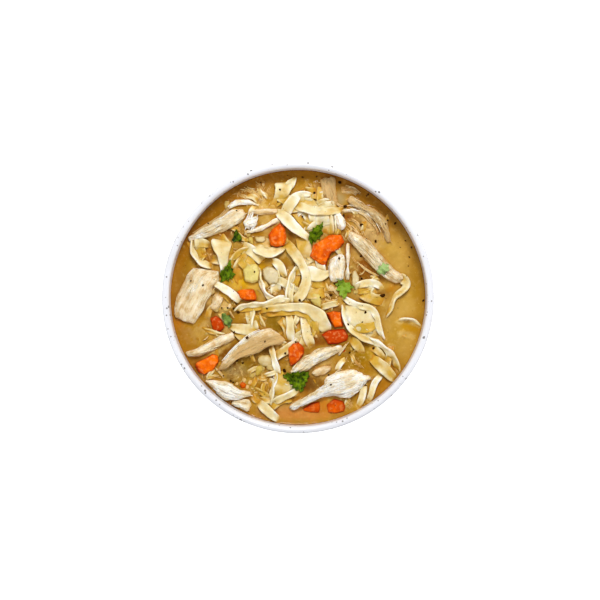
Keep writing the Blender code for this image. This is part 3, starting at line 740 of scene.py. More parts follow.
def noodle_material(settings):
    """Soft egg noodle: white at its edges, cream within, golden where it hangs in the broth and low over it,
    partly as painted shade, and with painted shade in the gaps between noodles.
    """
    recipe = new_material("egg_noodle", 0.34, 0.2, 0.25, (1.0, 0.75, 0.35), 0.0018)
    channels = recipe.split(recipe.attribute("tone"))
    patches, grain = recipe.mottle(95.0, 700.0)
    region = recipe.ramp(recipe.noise(recipe.object_place(), 52.0, 2.0), 0.42, 0.64)
    shade = recipe.plus(channels[0], channels[1], 0.26)
    # The wet mask here turns the noodle golden up to 3.8 mm over the broth: partly soaking, partly painted
    # light that keeps the high parts pale and the low parts golden.
    for part, share in ((region, 0.30), (patches, 0.54), (recipe.wet(0.0038), 0.45)):
        shade = recipe.plus(shade, part, share)
    colour = recipe.mix(recipe.ramp(shade, 0.20, 0.78), settings.pale, settings.cream)
    colour = recipe.mix(recipe.ramp(shade, 0.68, 1.40), colour, settings.yellow)
    # Painted shade: the broth-brown gap colour where the gaps between noodles are narrow.
    colour = recipe.mix(recipe.gap_shade(0.0026), colour, settings.gap_shade, 0.42)
    colour = recipe.soaked(colour, (0.90, 0.68, 0.26), 0.0014)
    return recipe.finish(colour, recipe.plus(patches, grain, 0.4), 0.4, 0.0005)


def ribbon(name, tone, route, settings, spacing=2.0, across=6, refine=True, seed=0.0):
    """A flat grid with ruffled edges, bent along its route, given its thickness and rounded."""
    line = smooth_ribbon(route, spacing)
    count = len(line)
    strip = new_grid(name, count - 1, across)
    length = sum((Vector(a[:3]) - Vector(b[:3])).length for a, b in zip(line, line[1:]))
    ruffle = settings.ruffle / MM
    tones = []
    for vertex in strip.data.vertices:
        along = (vertex.co.x + 1.0) / 2.0 * length
        edge = abs(vertex.co.y)
        side = 1.0 if vertex.co.y > 0 else -1.0
        width = line[min(count - 1, int(along / length * (count - 1)))][3]
        lift = ruffle * edge ** 2 * math.sin(along * 0.62 + seed * 3.1 + side * 1.1)
        lift += ruffle * 0.8 * wave((along, vertex.co.y * 2.0, seed), 5.0) + 0.45 * edge ** 2
        streak = wave((along * 0.3, vertex.co.y * width, seed), 1.6)
        tones.append((tone + 0.07 * streak, (1.0 - edge) ** 0.7, 0.0, 1.0))
        vertex.co.x = along * MM
        vertex.co.y *= 0.5 * MM * (1.0 + 0.17 * wave((along, side * 9.0, seed), 4.0))
        vertex.co.z = lift * MM / max(1.0, width)
    set_tone(strip, tones)
    path = bpy.data.curves.new(name + "_path", "CURVE")
    path.dimensions = "3D"
    path.twist_mode = "Z_UP"
    path.use_stretch = True
    path.use_deform_bounds = True
    spline = path.splines.new("POLY")
    spline.points.add(count - 1)
    for point, (x, y, z, width, lean) in zip(spline.points, line):
        point.co = (x * MM, y * MM, (LEVEL + z) * MM, 1.0)
        point.radius = width
        point.tilt = math.radians(lean)
    guide = linked(name + "_path", path)
    finish_with(strip, "CURVE", object=guide, deform_axis="POS_X")
    bpy.data.objects.remove(guide, do_unlink=True)
    finish_with(strip, "SOLIDIFY", thickness=settings.thickness, offset=0.0, use_even_offset=True)
    if refine:
        finish_with(strip, "SUBSURF", levels=1, render_levels=1)
    return strip


def smooth_ribbon(route, spacing):
    """The route's place, width and lean at an even spacing, on smooth curves that dip at both ends."""
    places = smooth_line([point[:3] for point in route], spacing)
    shapes = []
    for here, ahead in zip(route, route[1:]):
        count = max(2, round((Vector(ahead[:3]) - Vector(here[:3])).length / spacing))
        for step in range(count):
            t = step / count
            ease = t * t * (3.0 - 2.0 * t)
            shapes.append([a * (1.0 - ease) + b * ease for a, b in zip(here[3:], ahead[3:])])
    shapes.append(route[-1][3:])
    dipped = []
    for index, ((x, y, z), (width, lean)) in enumerate(zip(places, shapes)):
        far = min(index, len(shapes) - 1 - index) * spacing / END_REACH
        sink = max(0.0, 1.0 - far) ** 2
        dipped.append((x, y, z - END_DIP * sink, width * (1.0 - END_TAPER * sink), lean))
    return dipped


def noodle_shards(chance, settings):
    """Torn bits of noodle where small things gather."""
    for number, (x, y, reach) in enumerate(BUSY):
        for piece in range(2):
            start_x, start_y, _turn = scattered(chance, x, y, reach)
            heading, length = chance.uniform(0.0, math.tau), chance.uniform(2.5, 5.0)
            height, width = chance.uniform(-0.2, 0.8), chance.uniform(2.2, 4.2)
            route = [(start_x + step * length * math.cos(heading + 0.25 * step),
                      start_y + step * length * math.sin(heading + 0.25 * step), height + 0.6, width,
                      chance.uniform(-25, 25)) for step in range(3)]
            yield ribbon(f"shard_{number}_{piece}", chance.uniform(-0.2, 0.3), route, settings,
                         spacing=1.6, across=4, seed=200.0 + number + 0.5 * piece)


def lower_noodles(chance, settings):
    """The ribbons of the second layer, which run around the middle of their spot."""
    for number, (x, y, reach, count) in enumerate(SECOND_LAYER):
        for piece in range(count):
            place_x, place_y, turn = scattered(chance, x, y, reach)
            heading = turn + chance.choice((-1.0, 1.0)) * math.radians(90.0) + chance.uniform(-0.7, 0.7)
            place = Vector((place_x, place_y))
            step, bend = chance.uniform(4.5, 7.0), chance.uniform(-0.35, 0.35)
            height, width = chance.uniform(0.3, 1.7), chance.uniform(4.5, 8.0)
            place -= 1.5 * step * heading_vector(heading)
            route = []
            for _step in range(4):
                route.append((*place, height + chance.uniform(-0.5, 0.5), width, chance.uniform(-25, 25)))
                place += step * heading_vector(heading)
                heading += bend
            yield ribbon(f"under_{number}_{piece}", chance.uniform(-0.1, 0.55), route, settings,
                         seed=400.0 + 10.0 * number + piece)


def sunk_noodles(chance, settings):
    """The plain ribbons of the heap's core, under the broth."""
    for number in range(CORE_COUNT):
        x, y, _turn = scattered(chance, 0.0, 0.0, CORE_START)
        heading = chance.uniform(0.0, math.tau)
        depth = chance.uniform(-4.2, -0.7)
        route = []
        for _step in range(4):
            route.append((x, y, depth + chance.uniform(-0.6, 0.6), 6.5, chance.uniform(-15, 15)))
            heading += chance.uniform(-0.6, 0.6)
            x += 8.0 * math.cos(heading)
            y += 8.0 * math.sin(heading)
            if math.hypot(x, y) > CORE_REACH:
                break
        if len(route) > 1:
            yield ribbon(f"core_{number}", chance.uniform(0.1, 0.9), route, settings, spacing=3.0, across=2,
                         refine=False, seed=90.0 + number)


def build_noodles(settings):
    """All ribbons that show, and the sunk ones of the core under them."""
    material = noodle_material(settings)
    strips = [ribbon(name, tone, route, settings, seed=float(number))
              for number, (name, (tone, route)) in enumerate(RIBBONS.items())]
    chance = random.Random(23)
    strips.extend(noodle_shards(chance, settings))
    strips.extend(lower_noodles(chance, settings))
    hand_in(joined(strips, "egg_noodles"), material, "noodle", "noodle_heap")
    for number, (node, (tone, route)) in enumerate(APART.items()):
        strip = ribbon(node + "_ribbon", tone, route, settings, seed=50.0 + number)
        hand_in(strip, material, "noodle", node)
    sunk = list(sunk_noodles(random.Random(11), settings))
    hand_in(joined(sunk, "noodle_core"), material, "noodle", "noodle_heap")


# ---- chicken ----

# Each piece: its tone from 0, white, to 1, tan; how much its tone grows from its right edge to its left,
# which is painted shade across the piece, as on the curved slab with its shaded inner face below a lit top
# edge; the depth of its fibres; how many fibres hang loose.
CHICKEN = {
    "chicken_slab_left": (0.46, 0, 0.14, 12), "chicken_slab_curved": (0.98, -0.75, 0.22, 12),
    "chicken_chunk_front": (0.05, 0, 0.3, 10), "chicken_lobe_front": (0.3, 0, 0.35, 6),
    "chicken_shredded": (0, 0.1, 0.55, 40), "chicken_back": (1.2, 0, 0.5, 10),
    "chicken_back_small": (0.5, 0, 0.4, 4), "chicken_block_back": (-0.2, 0, 0.35, 5),
    "chicken_block_middle": (0.05, 0, 0.5, 12), "chicken_oval": (0.6, 0, 0.15, 2),
    "chicken_pale_left": (0.5, 0, 0.35, 4), "chicken_strip_long": (0.3, -0.1, 0.45, 18),
    "chicken_strip_left": (0.45, -0.2, 0.25, 8), "chicken_strip_front": (0.2, 0, 0.45, 18),
    "chicken_strip_right": (0.5, 0, 0.5, 24), "chicken_strip_back": (-0.15, 0, 0.4, 6),
    "chicken_shred_thin": (0.1, 0, 0.3, 3), "chicken_shred_arc_back": (-0.1, 0, 0.3, 3),
    "chicken_shred_flat": (0.4, 0, 0.3, 2), "chicken_shred_arc_right": (0.85, 0, 0.6, 24),
    "chicken_shred_straight": (0.2, 0, 0.3, 3), "chicken_shred_upright": (0.15, 0, 0.3, 3),
}
# Loose shreds in and on the broth: tone, width, height over the broth, and points of x and y.
SHREDS = (
    (-0.2, 7.5, 2.2, ((-34.5, 45), (-32.5, 48.5), (-31, 52), (-29.5, 56))),
    (0.1, 4, 0.6, ((29, 73.5), (33, 73), (37, 71.5), (41, 68.5))),
    (0.6, 3, 0.4, ((-36, 74), (-31, 71), (-27, 67), (-25, 62))),
    (0.9, 2.4, 0.3, ((-29, 77), (-25, 73), (-23, 68))), (0.4, 2, 0.5, ((-40, 69), (-35, 67), (-31, 63.5))),
    (1.3, 3.4, 2.4, ((-74, 39.3), (-67, 43.6), (-59, 48.8), (-52, 53.2), (-47.5, 58), (-45, 62))),
    (0, 2.6, 3.2, ((-53, -47), (-48, -40.5), (-42, -34), (-35, -27.5), (-27, -23), (-19, -21.5))),
    (0.45, 2.2, 3.6, ((-66, 40), (-58, 43.4), (-50, 47.2), (-43, 51), (-38, 56))),
    (0.5, 2, 1.8, ((33, 66.5), (41, 63), (48, 58.5), (54, 52.5), (58.5, 45), (60.5, 38))),
    (0.2, 1.8, 1.6, ((34, 63), (42, 59.5), (49, 54.5), (54, 48), (57, 41))),
    (0.75, 1.6, 1, ((38, 60), (45, 55.5), (50.5, 49.5), (54, 42), (54.5, 36))),
    (0.1, 1.5, 1, ((31, 60.5), (38, 61.5), (45, 58), (51, 52))),
    (0.85, 2.4, 0.3, ((7, -44), (12, -47.5), (18, -47), (23, -43))),
    (0.15, 2.6, 0.9, ((30, 58), (38, 58.6), (44, 56), (49, 51), (52, 46))),
    (0.25, 1.8, 0.7, ((31, 52), (37, 51.5), (41, 48), (44, 42), (46, 37))),
    (0.25, 1.8, 0.8, ((35, 48), (39, 44), (41, 39), (40, 35))),
    (0.3, 1.6, 0.6, ((32, 50), (35.5, 46), (35, 41), (38, 37))),
    (0.5, 3.4, 0.1, ((43, 60), (50, 56), (55, 49), (57, 42), (57, 35))),
    (0.55, 3, -0.2, ((46, 52), (50, 46), (52.5, 40), (52, 34))),
    (0.6, 2.6, -0.2, ((40, 55), (45, 50), (48, 44), (49, 38))),
    (0.5, 2.2, 0.2, ((31, 64), (36, 66), (42, 63), (48, 58))),
    (0.6, 2.4, 0.1, ((-31, 64), (-25, 71), (-20, 79))), (0.7, 2.2, 0, ((-35, 65), (-29, 71), (-26, 78))),
    (0.6, 2.2, 0.1, ((-25, 63), (-21, 70), (-17.5, 78))),
    (0.75, 2.6, -0.2, ((-41, 66), (-34, 70), (-28, 73))), (0.7, 2, 0.1, ((-44, 69), (-37, 71), (-31, 74.5))),
    (0.8, 2.4, -0.2, ((-38, 64), (-30, 67), (-22, 66))),
    (0.75, 1.5, 0.5, ((-73, 39), (-63, 45.5), (-55, 49.5), (-50, 53))),
    (0.45, 3.6, -0.1, ((12, 65), (12.5, 71), (12, 77))), (0.55, 3, -0.2, ((16.5, 66), (17, 72), (15.5, 78))),
    (0.35, 1.6, 0.9, ((24, 66), (27, 62), (31, 60))), (0.55, 1.3, 0.4, ((36, -39), (39, -43.5), (44, -48))),
    (0.3, 1.3, 1.2, ((33.5, -30), (30.5, -34), (27, -38.5))),
    (0.3, 1.4, 0.8, ((40, 24), (45, 19), (51, 15.5), (56, 14))),
    (0.4, 1.4, 0.5, ((44, 27), (49, 22), (54, 18))), (0.55, 1.6, 0.1, ((36, 29), (38, 24), (42, 21))),
    (0.5, 3, -0.2, ((-57, -13), (-62, -18), (-68, -22))),
    (0.6, 3.4, -0.3, ((-80, -18), (-76, -24), (-72, -33))),
    (0.5, 3, -0.4, ((-74, -20), (-70, -26), (-69, -32))),
    (0.35, 1.4, 0.5, ((-63, -53), (-56, -52.5), (-50, -54))),
    (0.3, 1.2, 0.6, ((-56, -47), (-52, -50.5), (-49, -55))),
    (0.45, 1.6, 0.3, ((-8, -72), (-2, -70.5), (4, -67))),
    (0.5, 2.4, -0.3, ((-28, -74), (-24, -78), (-20, -80.5))),
    (0.5, 1.5, 0.4, ((33, -69), (35.5, -72), (33, -75.5))),
    (0.2, 1.5, 0.6, ((17, 3.5), (20, 1.5), (21.5, -2))), (0.3, 2.2, 0.6, ((18, -1.5), (22, -3), (27, -1.5))),
    (0.25, 1.4, 0.9, ((21, 8), (24, 5), (27, 1))), (0.3, 1.4, 0.7, ((-20, 6), (-16, 4.5), (-13, 1))),
    (0.25, 1.4, 0.8, ((-13, 9), (-10, 7.5), (-8.5, 4))),
    (0.35, 1.4, 0.6, ((-10, 20), (-8.5, 17), (-6.5, 15.5))),
    (0.35, 2, 0.4, ((-52, -5), (-48.5, -7), (-45.5, -6))),
    (0.4, 1.2, 0.6, ((-46, -9), (-44.5, -12), (-43, -14))),
    (0.5, 1.4, 0.4, ((-46, 46), (-42, 47), (-38.5, 45.5))),
    (0.3, 1.3, 0.6, ((-37, 47), (-35, 44), (-35.5, 40))),
    (0.6, 1.2, 0.4, ((-53, 42), (-50, 40.5), (-48, 38.5))),
    (0.35, 1.3, 0.6, ((-38, 37), (-36, 35), (-33, 34))),
)
# Small lumps of each kind: x, y, size across, height over the broth.
CRUMBS = {
    "chicken": (
        (-17, 5, 2.4, 0.4), (-13, 7.5, 2.6, 0.5), (-19, 1.5, 2.6, 0.4), (-15.5, 2, 2.2, 0.5),
        (-7, 18, 2, 0.6), (-50, -6.5, 3.4, 0.3), (-46, -6, 3.4, 0.4), (24, -2.5, 3, 0.5), (18, 1.5, 2.6, 0.4),
        (22, 6, 5, 0.5), (25.5, 5, 3.6, 0.4), (-18, -56, 3.4, 0.5), (-21.5, -57.5, 2.6, 0.2),
        (-24.5, -55, 2.4, 0.3), (-34, -60, 3, 0.4), (-36, -55.5, 2.6, 0.4), (-32, -57, 3, 0.4),
        (36.5, 73, 2.6, 0.4), (-41, -58, 2.4, 0.3), (12, -26, 2.2, 0.3), (37, 14, 2.4, 0.3),
        (42.5, 12, 2.6, 0.3), (7, 62, 2, 0), (-24, 60, 2.4, 0.2),
    ),
    "onion": (
        (-21.5, -42.5, 9.5, 0.7), (-24, -47, 4.5, 0.3), (-58, 3.5, 5, 1.2), (-55, -7.5, 4.5, 1),
        (-48.5, -8, 3.5, 0.4), (-42, -48, 9, -1.6), (-30, -52, 4.5, -0.1), (-47.5, 62, 5, 0.4),
        (-33, 42, 3, 0.4), (35, 20, 3, 0.3), (-14, -47, 4, 0.8), (39, 4, 4, 0.3), (-38, -37, 6, -0.6),
    ),
    "celery": (
        (-26, -48.5, 6.5, 0.3), (-30, -60, 3, 0.2), (-34, 38, 4, 0.4), (8, 1, 3.4, 0.5), (-28, -35, 4, -0.5),
        (-25, 67, 3, -0.3), (15, -34, 3, -0.2),
    ),
    "carrot": (
        (-1, -79, 1.2, 0), (3, -77, 1, 0), (-5, -77.5, 1.1, 0), (7, -80, 1, 0), (-12, -76, 1, 0),
        (-80, -17, 1.6, -0.2), (66, -1, 1.6, 0), (31, -36, 1.6, 0.2),
    ),
}
# Lumps wider than this are rounder.
FINE_LUMP = 2.4


def chicken_material(settings):
    """Cooked breast meat: fine grain along the fibres, tan where it is soaked, and painted shade in its
    crevices.
    """
    recipe = new_material("chicken_meat", 0.45, 0.18, 0.25, (1.0, 0.7, 0.4), 0.0018)
    tone = recipe.split(recipe.attribute("tone"))[0]
    place = recipe.attribute("grain", "Vector")
    fine = recipe.ramp(recipe.noise(place, 1.0, 3.0), 0.36, 0.66)
    thin = recipe.ramp(recipe.noise(place, 2.3, 2.0), 0.38, 0.66)
    patches, grain = recipe.mottle(190.0, 620.0)
    shade = recipe.plus(recipe.plus(recipe.plus(tone, fine, 0.22), thin, 0.12), patches, 0.44)
    colour = recipe.mix(recipe.ramp(shade, 0.22, 0.72), settings.white, settings.cream)
    colour = recipe.mix(recipe.ramp(shade, 0.68, 1.25), colour, settings.tan)
    colour = recipe.mix(recipe.ramp(recipe.plus(grain, fine, 0.4), 1.0, 1.3), colour, settings.tan, 0.45)
    # Painted shade: brown in the meat's narrow crevices.
    colour = recipe.mix(recipe.gap_shade(0.0016, 0.1, 0.7), colour, (0.55, 0.30, 0.10), 0.6)
    colour = recipe.soaked(colour, (0.90, 0.68, 0.34), 0.0018)
    return recipe.finish(colour, recipe.plus(fine, thin, 0.6), 0.4, 0.0004)


class MiddleLine:
    """The line along the middle of a piece, shifted to the side where the piece bends."""

    def __init__(self, piece, slices=12):
        points = [vertex.co.copy() for vertex in piece.data.vertices]
        self.centre = sum(points, Vector()) / len(points)
        xx = sum((p.x - self.centre.x) ** 2 for p in points)
        yy = sum((p.y - self.centre.y) ** 2 for p in points)
        xy = sum((p.x - self.centre.x) * (p.y - self.centre.y) for p in points)
        turn = 0.5 * math.atan2(2.0 * xy, xx - yy)
        self.along = Vector((math.cos(turn), math.sin(turn), 0.0))
        self.side = Vector((-self.along.y, self.along.x, 0.0))
        spans = [((p - self.centre).dot(self.along), (p - self.centre).dot(self.side)) for p in points]
        self.low = min(u for u, _v in spans)
        self.high = max(u for u, _v in spans)
        self.shifts = []
        slice_length = (self.high - self.low) / slices
        for number in range(slices):
            start = self.low + slice_length * number
            sides = [v for u, v in spans if start <= u <= start + slice_length]
            if sides:
                self.shifts.append((min(sides) + max(sides)) / 2.0)
            else:
                self.shifts.append(self.shifts[-1] if self.shifts else 0.0)

    def shift(self, u):
        """How far the line lies to the side at a distance along the piece."""
        place = (u - self.low) / max(self.high - self.low, 1e-9) * len(self.shifts) - 0.5
        index = clamp(int(math.floor(place)), 0, len(self.shifts) - 2)
        blend = clamp(place - index)
        return self.shifts[index] * (1.0 - blend) + self.shifts[index + 1] * blend

    def measure(self, place):
        """How far a place lies along the piece, to the side of its line, and up."""
        offset = place - self.centre
        u = offset.dot(self.along)
        return u, offset.dot(self.side) - self.shift(u), offset.z

    def width(self, tree, u):
        """The piece's width across its length, near its middle height."""
        origin = self.centre + self.along * u + self.side * self.shift(u)
        far = 0.05
        width = 0.0
        for side in (self.side, -self.side):
            hit = tree.ray_cast(origin + side * far, -side)
            if hit[0] is not None:
                width += max(0.0, far - hit[3])
        return width


def thread(points, radius, name):
    """A tapered fibre along a line of points in metres."""
    curve = bpy.data.curves.new(name, "CURVE")
    curve.dimensions = "3D"
    curve.bevel_depth = radius
    curve.bevel_resolution = 1
    curve.use_fill_caps = True
    spline = curve.splines.new("POLY")
    spline.points.add(len(points) - 1)
    for number, (point, place) in enumerate(zip(spline.points, points)):
        share = number / (len(points) - 1)
        point.co = (*place, 1.0)
        point.radius = 0.35 + 0.65 * math.sin(math.pi * min(1.0, 0.12 + share * 0.85))
    pick(linked(name, curve))
    bpy.ops.object.convert(target="MESH")
    return bpy.context.object


def store_grain(piece, line):
    """Store each vertex's place along and across the fibres, for the meat's grain."""
    fibre_length, fibre_width = 7.0 * MM, 0.9 * MM
    layer = piece.data.attributes.new("grain", "FLOAT_VECTOR", "POINT")
    flat = []
    for vertex in piece.data.vertices:
        u, v, z = line.measure(vertex.co)
        flat.extend((u / fibre_length, v / fibre_width, z / fibre_width))
    layer.data.foreach_set("vector", flat)


def score(piece, line, depth, seed):
    """Furrow a piece along its fibres, with bundles, lumps and ragged bits."""
    moves = []
    for vertex in piece.data.vertices:
        u, v, z = (part / MM for part in line.measure(vertex.co))
        fibre = noise.noise(Vector((u / 9.0, v / 1.3, z / 2.0 + seed)))
        bundle = noise.noise(Vector((u / 12.0 + seed, v / 3.4, z / 4.0)))
        lump = noise.noise(Vector((u / 6.0, v / 6.0, z / 6.0 + 2.0 * seed)))
        ragged = noise.noise(Vector((u / 2.6, v / 1.1, z / 1.5 + 3.0 * seed)))
        push = depth * (1.1 * (1.0 - 2.5 * abs(fibre)) + 2.6 * bundle + 0.6 * ragged) + 0.5 * lump
        moves.append(vertex.normal * push * MM)
    for vertex, move in zip(piece.data.vertices, moves):
        vertex.co += move
    finish_with(piece, "SMOOTH", factor=0.3, iterations=1)


def loose_fibres(piece, node, line, count, seed):
    """Fibres that lie on a piece, some of them past its ends."""
    chance = random.Random(int(seed * 7) + 3)
    tree = tree_of([piece])
    span = line.high - line.low
    steps = 9
    for number in range(count):
        start = line.low + span * chance.uniform(-0.03, 0.62)
        length = span * chance.uniform(0.22, 0.5)
        swing = chance.uniform(-0.5, 0.5)
        reach = chance.uniform(-0.53, 0.53)
        points = []
        for step in range(steps + 1):
            u = start + length * step / steps
            on_piece = clamp(u, line.low, line.high)
            width = max(1.6 * MM, line.width(tree, on_piece))
            v = line.shift(on_piece) + width * reach + swing * MM * math.sin(step * 0.9 + number)
            place = line.centre + line.along * u + line.side * v
            hit = tree.ray_cast(Vector((place.x, place.y, LOOKOUT)), DOWN)
            if hit[0] is not None:
                z = hit[0].z
            elif points:
                z = points[-1].z - 0.5 * MM
            else:
                z = (LEVEL + 0.5) * MM
            points.append(Vector((place.x, place.y, z + 0.10 * MM)))
        yield thread(points, chance.uniform(0.3, 0.65) * MM, node + f"_fibre_{number}")


def meat(node, tone, lean, depth, loose, settings, seed):
    """One piece of chicken: its solid softened, scored along its fibres and frayed."""
    piece = copy_of_node(node, node + "_meat")
    finish_with(piece, "REMESH", mode="VOXEL", voxel_size=settings.voxel)
    finish_with(piece, "SMOOTH", factor=0.5, iterations=3)
    line = MiddleLine(piece)
    score(piece, line, depth, seed)
    whole = joined([piece, *loose_fibres(piece, node, line, loose, seed)], node + "_meat")
    half = 0.0
    for vertex in whole.data.vertices:
        offset = vertex.co - line.centre
        if line.low <= offset.dot(line.along) <= line.high:
            half = max(half, abs(offset.dot(line.side)))
    tones = []
    for vertex in whole.data.vertices:
        offset = vertex.co - line.centre
        u = clamp(offset.dot(line.along), line.low, line.high)
        v = (offset.dot(line.side) - line.shift(u)) / half
        strand = noise.noise(Vector((u / MM / 14.0 + seed, v * half / MM / 2.6, 0.0)))
        # The blotch adds random strands and patches and darkens the piece toward both edges; the lean paints
        # shade across it.
        blotch = 0.10 * wave(vertex.co, 0.0022, seed) + 0.45 * strand + 0.25 * min(1.0, abs(v)) ** 3
        tones.append((tone + lean * v + blotch, 0.0, 0.0, 1.0))
    set_tone(whole, tones)
    store_grain(whole, line)
    return whole


def shred_strands(chance):
    """The strands of every loose shred, side by side across its width."""
    for number, (tone, width, height, points) in enumerate(SHREDS):
        line = smooth_line([(x, y, height) for x, y in points], 1.5)
        count = max(2, round(width / 0.75))
        for strand_number in range(count):
            offset = (strand_number - (count - 1) / 2.0) * width / count
            start = chance.randint(0, max(0, len(line) // 5))
            end = len(line) - chance.randint(0, max(0, len(line) // 5))
            places = []
            for index in range(start, end):
                ahead = line[min(len(line) - 1, index + 1)] - line[max(0, index - 1)]
                across = Vector((-ahead.y, ahead.x, 0.0)).normalized()
                wobble = 0.35 * wave((index * 1.5, strand_number * 3.0, number), 4.0)
                dip = 0.25 * wave((index * 1.5, strand_number, number + 40.0), 5.0)
                place = line[index] + across * (offset + wobble)
                places.append(Vector((place.x, place.y, LEVEL + place.z + dip)) * MM)
            strand = thread(places, chance.uniform(0.42, 0.6) * MM, f"shred_{number}_{strand_number}")
            even_tone(strand, tone + chance.uniform(-0.12, 0.12))
            yield strand


def torn_strands(chance):
    """Short torn fibres where small things gather."""
    for number, (x, y, reach) in enumerate(BUSY):
        for piece in range(9):
            start_x, start_y, _turn = scattered(chance, x, y, reach)
            heading, bend = chance.uniform(0.0, math.tau), chance.uniform(-0.25, 0.25)
            place = Vector((start_x, start_y, LEVEL + chance.uniform(-0.3, 0.8)))
            places = []
            for _step in range(chance.randint(3, 6)):
                places.append(place * MM)
                heading += bend
                place = place + Vector((*heading_vector(heading), chance.uniform(-0.15, 0.1)))
            strand = thread(places, chance.uniform(0.25, 0.5) * MM, f"torn_{number}_{piece}")
            even_tone(strand, chance.uniform(0.0, 0.8))
            yield strand


def build_chicken(settings):
    """Every piece of chicken that shows."""
    material = chicken_material(settings)
    for number, (node, look) in enumerate(CHICKEN.items()):
        hand_in(meat(node, *look, settings, 1.0 + 1.7 * number), material, "chicken", node)
    chance = random.Random(17)
    strands = [*shred_strands(chance), *torn_strands(chance)]
    for loose in (joined(strands, "chicken_shreds"), crumbs("chicken", 0.3, 2.0)):
        store_grain(loose, MiddleLine(loose))
        hand_in(loose, material, "chicken")


def crumbs(kind, tone, seed):
    """All small lumps of one kind, as one piece."""
    shape = bmesh.new()
    chance = random.Random(int(seed * 100))
    lumps = list(CRUMBS[kind])
    if kind in ("chicken", "onion"):
        for x, y, reach in BUSY:
            for _number in range(4):
                lumps.append((*scattered(chance, x, y, reach)[:2], chance.uniform(0.8, 2.4),
                              chance.uniform(-0.2, 0.4)))
    for x, y, size, height in lumps:
        middle = Vector((x, y, LEVEL + height)) * MM
        turn = Matrix.Rotation(chance.uniform(0, math.tau), 4, "Z")
        stretch = Matrix.Diagonal((chance.uniform(1.0, 1.25), chance.uniform(0.7, 0.9), 0.42, 1.0))
        made = bmesh.ops.create_icosphere(shape, subdivisions=3 if size > FINE_LUMP else 2,
                                          radius=size * MM / 2.0,
                                          matrix=Matrix.Translation(middle) @ turn @ stretch)
        for vertex in made["verts"]:
            vertex.co += (vertex.co - middle) * 0.28 * wave(vertex.co, 0.0013, seed)
    lumps = drawn(shape, kind + "_crumbs")
    even_tone(lumps, tone)
    return lumps


# ---- vegetables ----

# Carrot pieces: redness, roughness of the cut faces.
CARROTS = {
    "carrot_01": (0.25, 0.12), "carrot_02": (0.15, 0.45), "carrot_03": (0.2, 0.15), "carrot_04": (0.7, 0.2),
    "carrot_05": (0.05, 0.15), "carrot_06": (0.1, 0.2), "carrot_07": (0.95, 0.15), "carrot_08": (0.45, 0.4),
    "carrot_09": (0.1, 0.12), "carrot_10": (0.2, 0.12), "carrot_11": (-0.3, 0.2),
}
CELERY = ("celery_01", "celery_03", "celery_04", "celery_05")
ONION = ("onion_01", "onion_02", "onion_03", "celery_02")


def softened(node, name, settings, relief, wavelength, smoothing, seed):
    """A solid with its edges cooked round and a little relief."""
    piece = copy_of_node(node, name)
    finish_with(piece, "REMESH", mode="VOXEL", voxel_size=settings.voxel)
    finish_with(piece, "SMOOTH", factor=0.5, iterations=smoothing)
    wavelength *= MM
    normals = [vertex.normal.copy() for vertex in piece.data.vertices]
    for vertex, normal in zip(piece.data.vertices, normals):
        push = wave(vertex.co, wavelength, seed) + 0.5 * wave(vertex.co, 0.4 * wavelength, seed)
        vertex.co += normal * relief * push * MM
    return piece


def carrot_material(settings):
    """Cooked carrot: orange, redder on some pieces and in patches, with paler grain, and with painted shade
    in its narrow gaps.
    """
    recipe = new_material("carrot_flesh", 0.42, 0.04, 0.12, (1.0, 0.2, 0.03), 0.0012)
    tone = recipe.split(recipe.attribute("tone"))[0]
    patches, grain = recipe.mottle(150.0, 400.0)
    colour = recipe.mix(recipe.plus(tone, patches, 0.75), settings.orange, settings.red, 0.9)
    colour = recipe.mix(recipe.ramp(grain, 0.6, 1.1), colour, (1.0, 0.42, 0.14), 0.36)
    # Painted shade: deep red where the gaps are narrow.
    colour = recipe.mix(recipe.gap_shade(0.0045, 0.4, 1.0), colour, (0.36, 0.018, 0.001))
    return recipe.finish(recipe.soaked(colour, (0.72, 0.62, 0.4), 0.002), grain, 0.35, 0.0004)


def pale_material(name, base):
    """Soft translucent celery or onion, with painted shade in its narrow gaps."""
    recipe = new_material(name, 0.28, 0.22, 0.4, (1.0, 0.9, 0.5), 0.0022)
    patches, grain = recipe.mottle(180.0, 700.0)
    colour = recipe.mix(patches, base, [min(1.0, 1.15 * part + 0.05) for part in base], 0.5)
    # Painted shade: brown in narrow gaps.
    colour = recipe.mix(recipe.gap_shade(0.004, 0.4, 1.0), colour, (0.42, 0.24, 0.02), 0.8)
    return recipe.finish(recipe.soaked(colour, (0.85, 0.68, 0.26), 0.0036), grain, 0.25, 0.0004)


def build_vegetables(settings):
    """Carrot dice, celery and onion."""
    carrot = carrot_material(settings)
    for number, (node, (redness, relief)) in enumerate(CARROTS.items()):
        piece = softened(node, node + "_dice", settings, relief, 2.2, 3, 5.0 + number)
        set_tone(piece, [(redness + 0.12 * wave(vertex.co, 0.004, number), 0.0, 0.0, 1.0)
                         for vertex in piece.data.vertices])
        hand_in(piece, carrot, "carrot", node)
    hand_in(crumbs("carrot", 0.1, 6.0), carrot, "carrot")
    for nodes, slot, colour in ((CELERY, "celery", settings.celery), (ONION, "onion", settings.onion)):
        material = pale_material(slot + "_flesh", colour)
        for number, node in enumerate(nodes):
            piece = softened(node, node + "_piece", settings, 0.45, 3.2, 16, 30.0 + number)
            even_tone(piece, 0.3)
            hand_in(piece, material, slot, node)
        hand_in(crumbs(slot, 0.3, 8.0), material, slot)
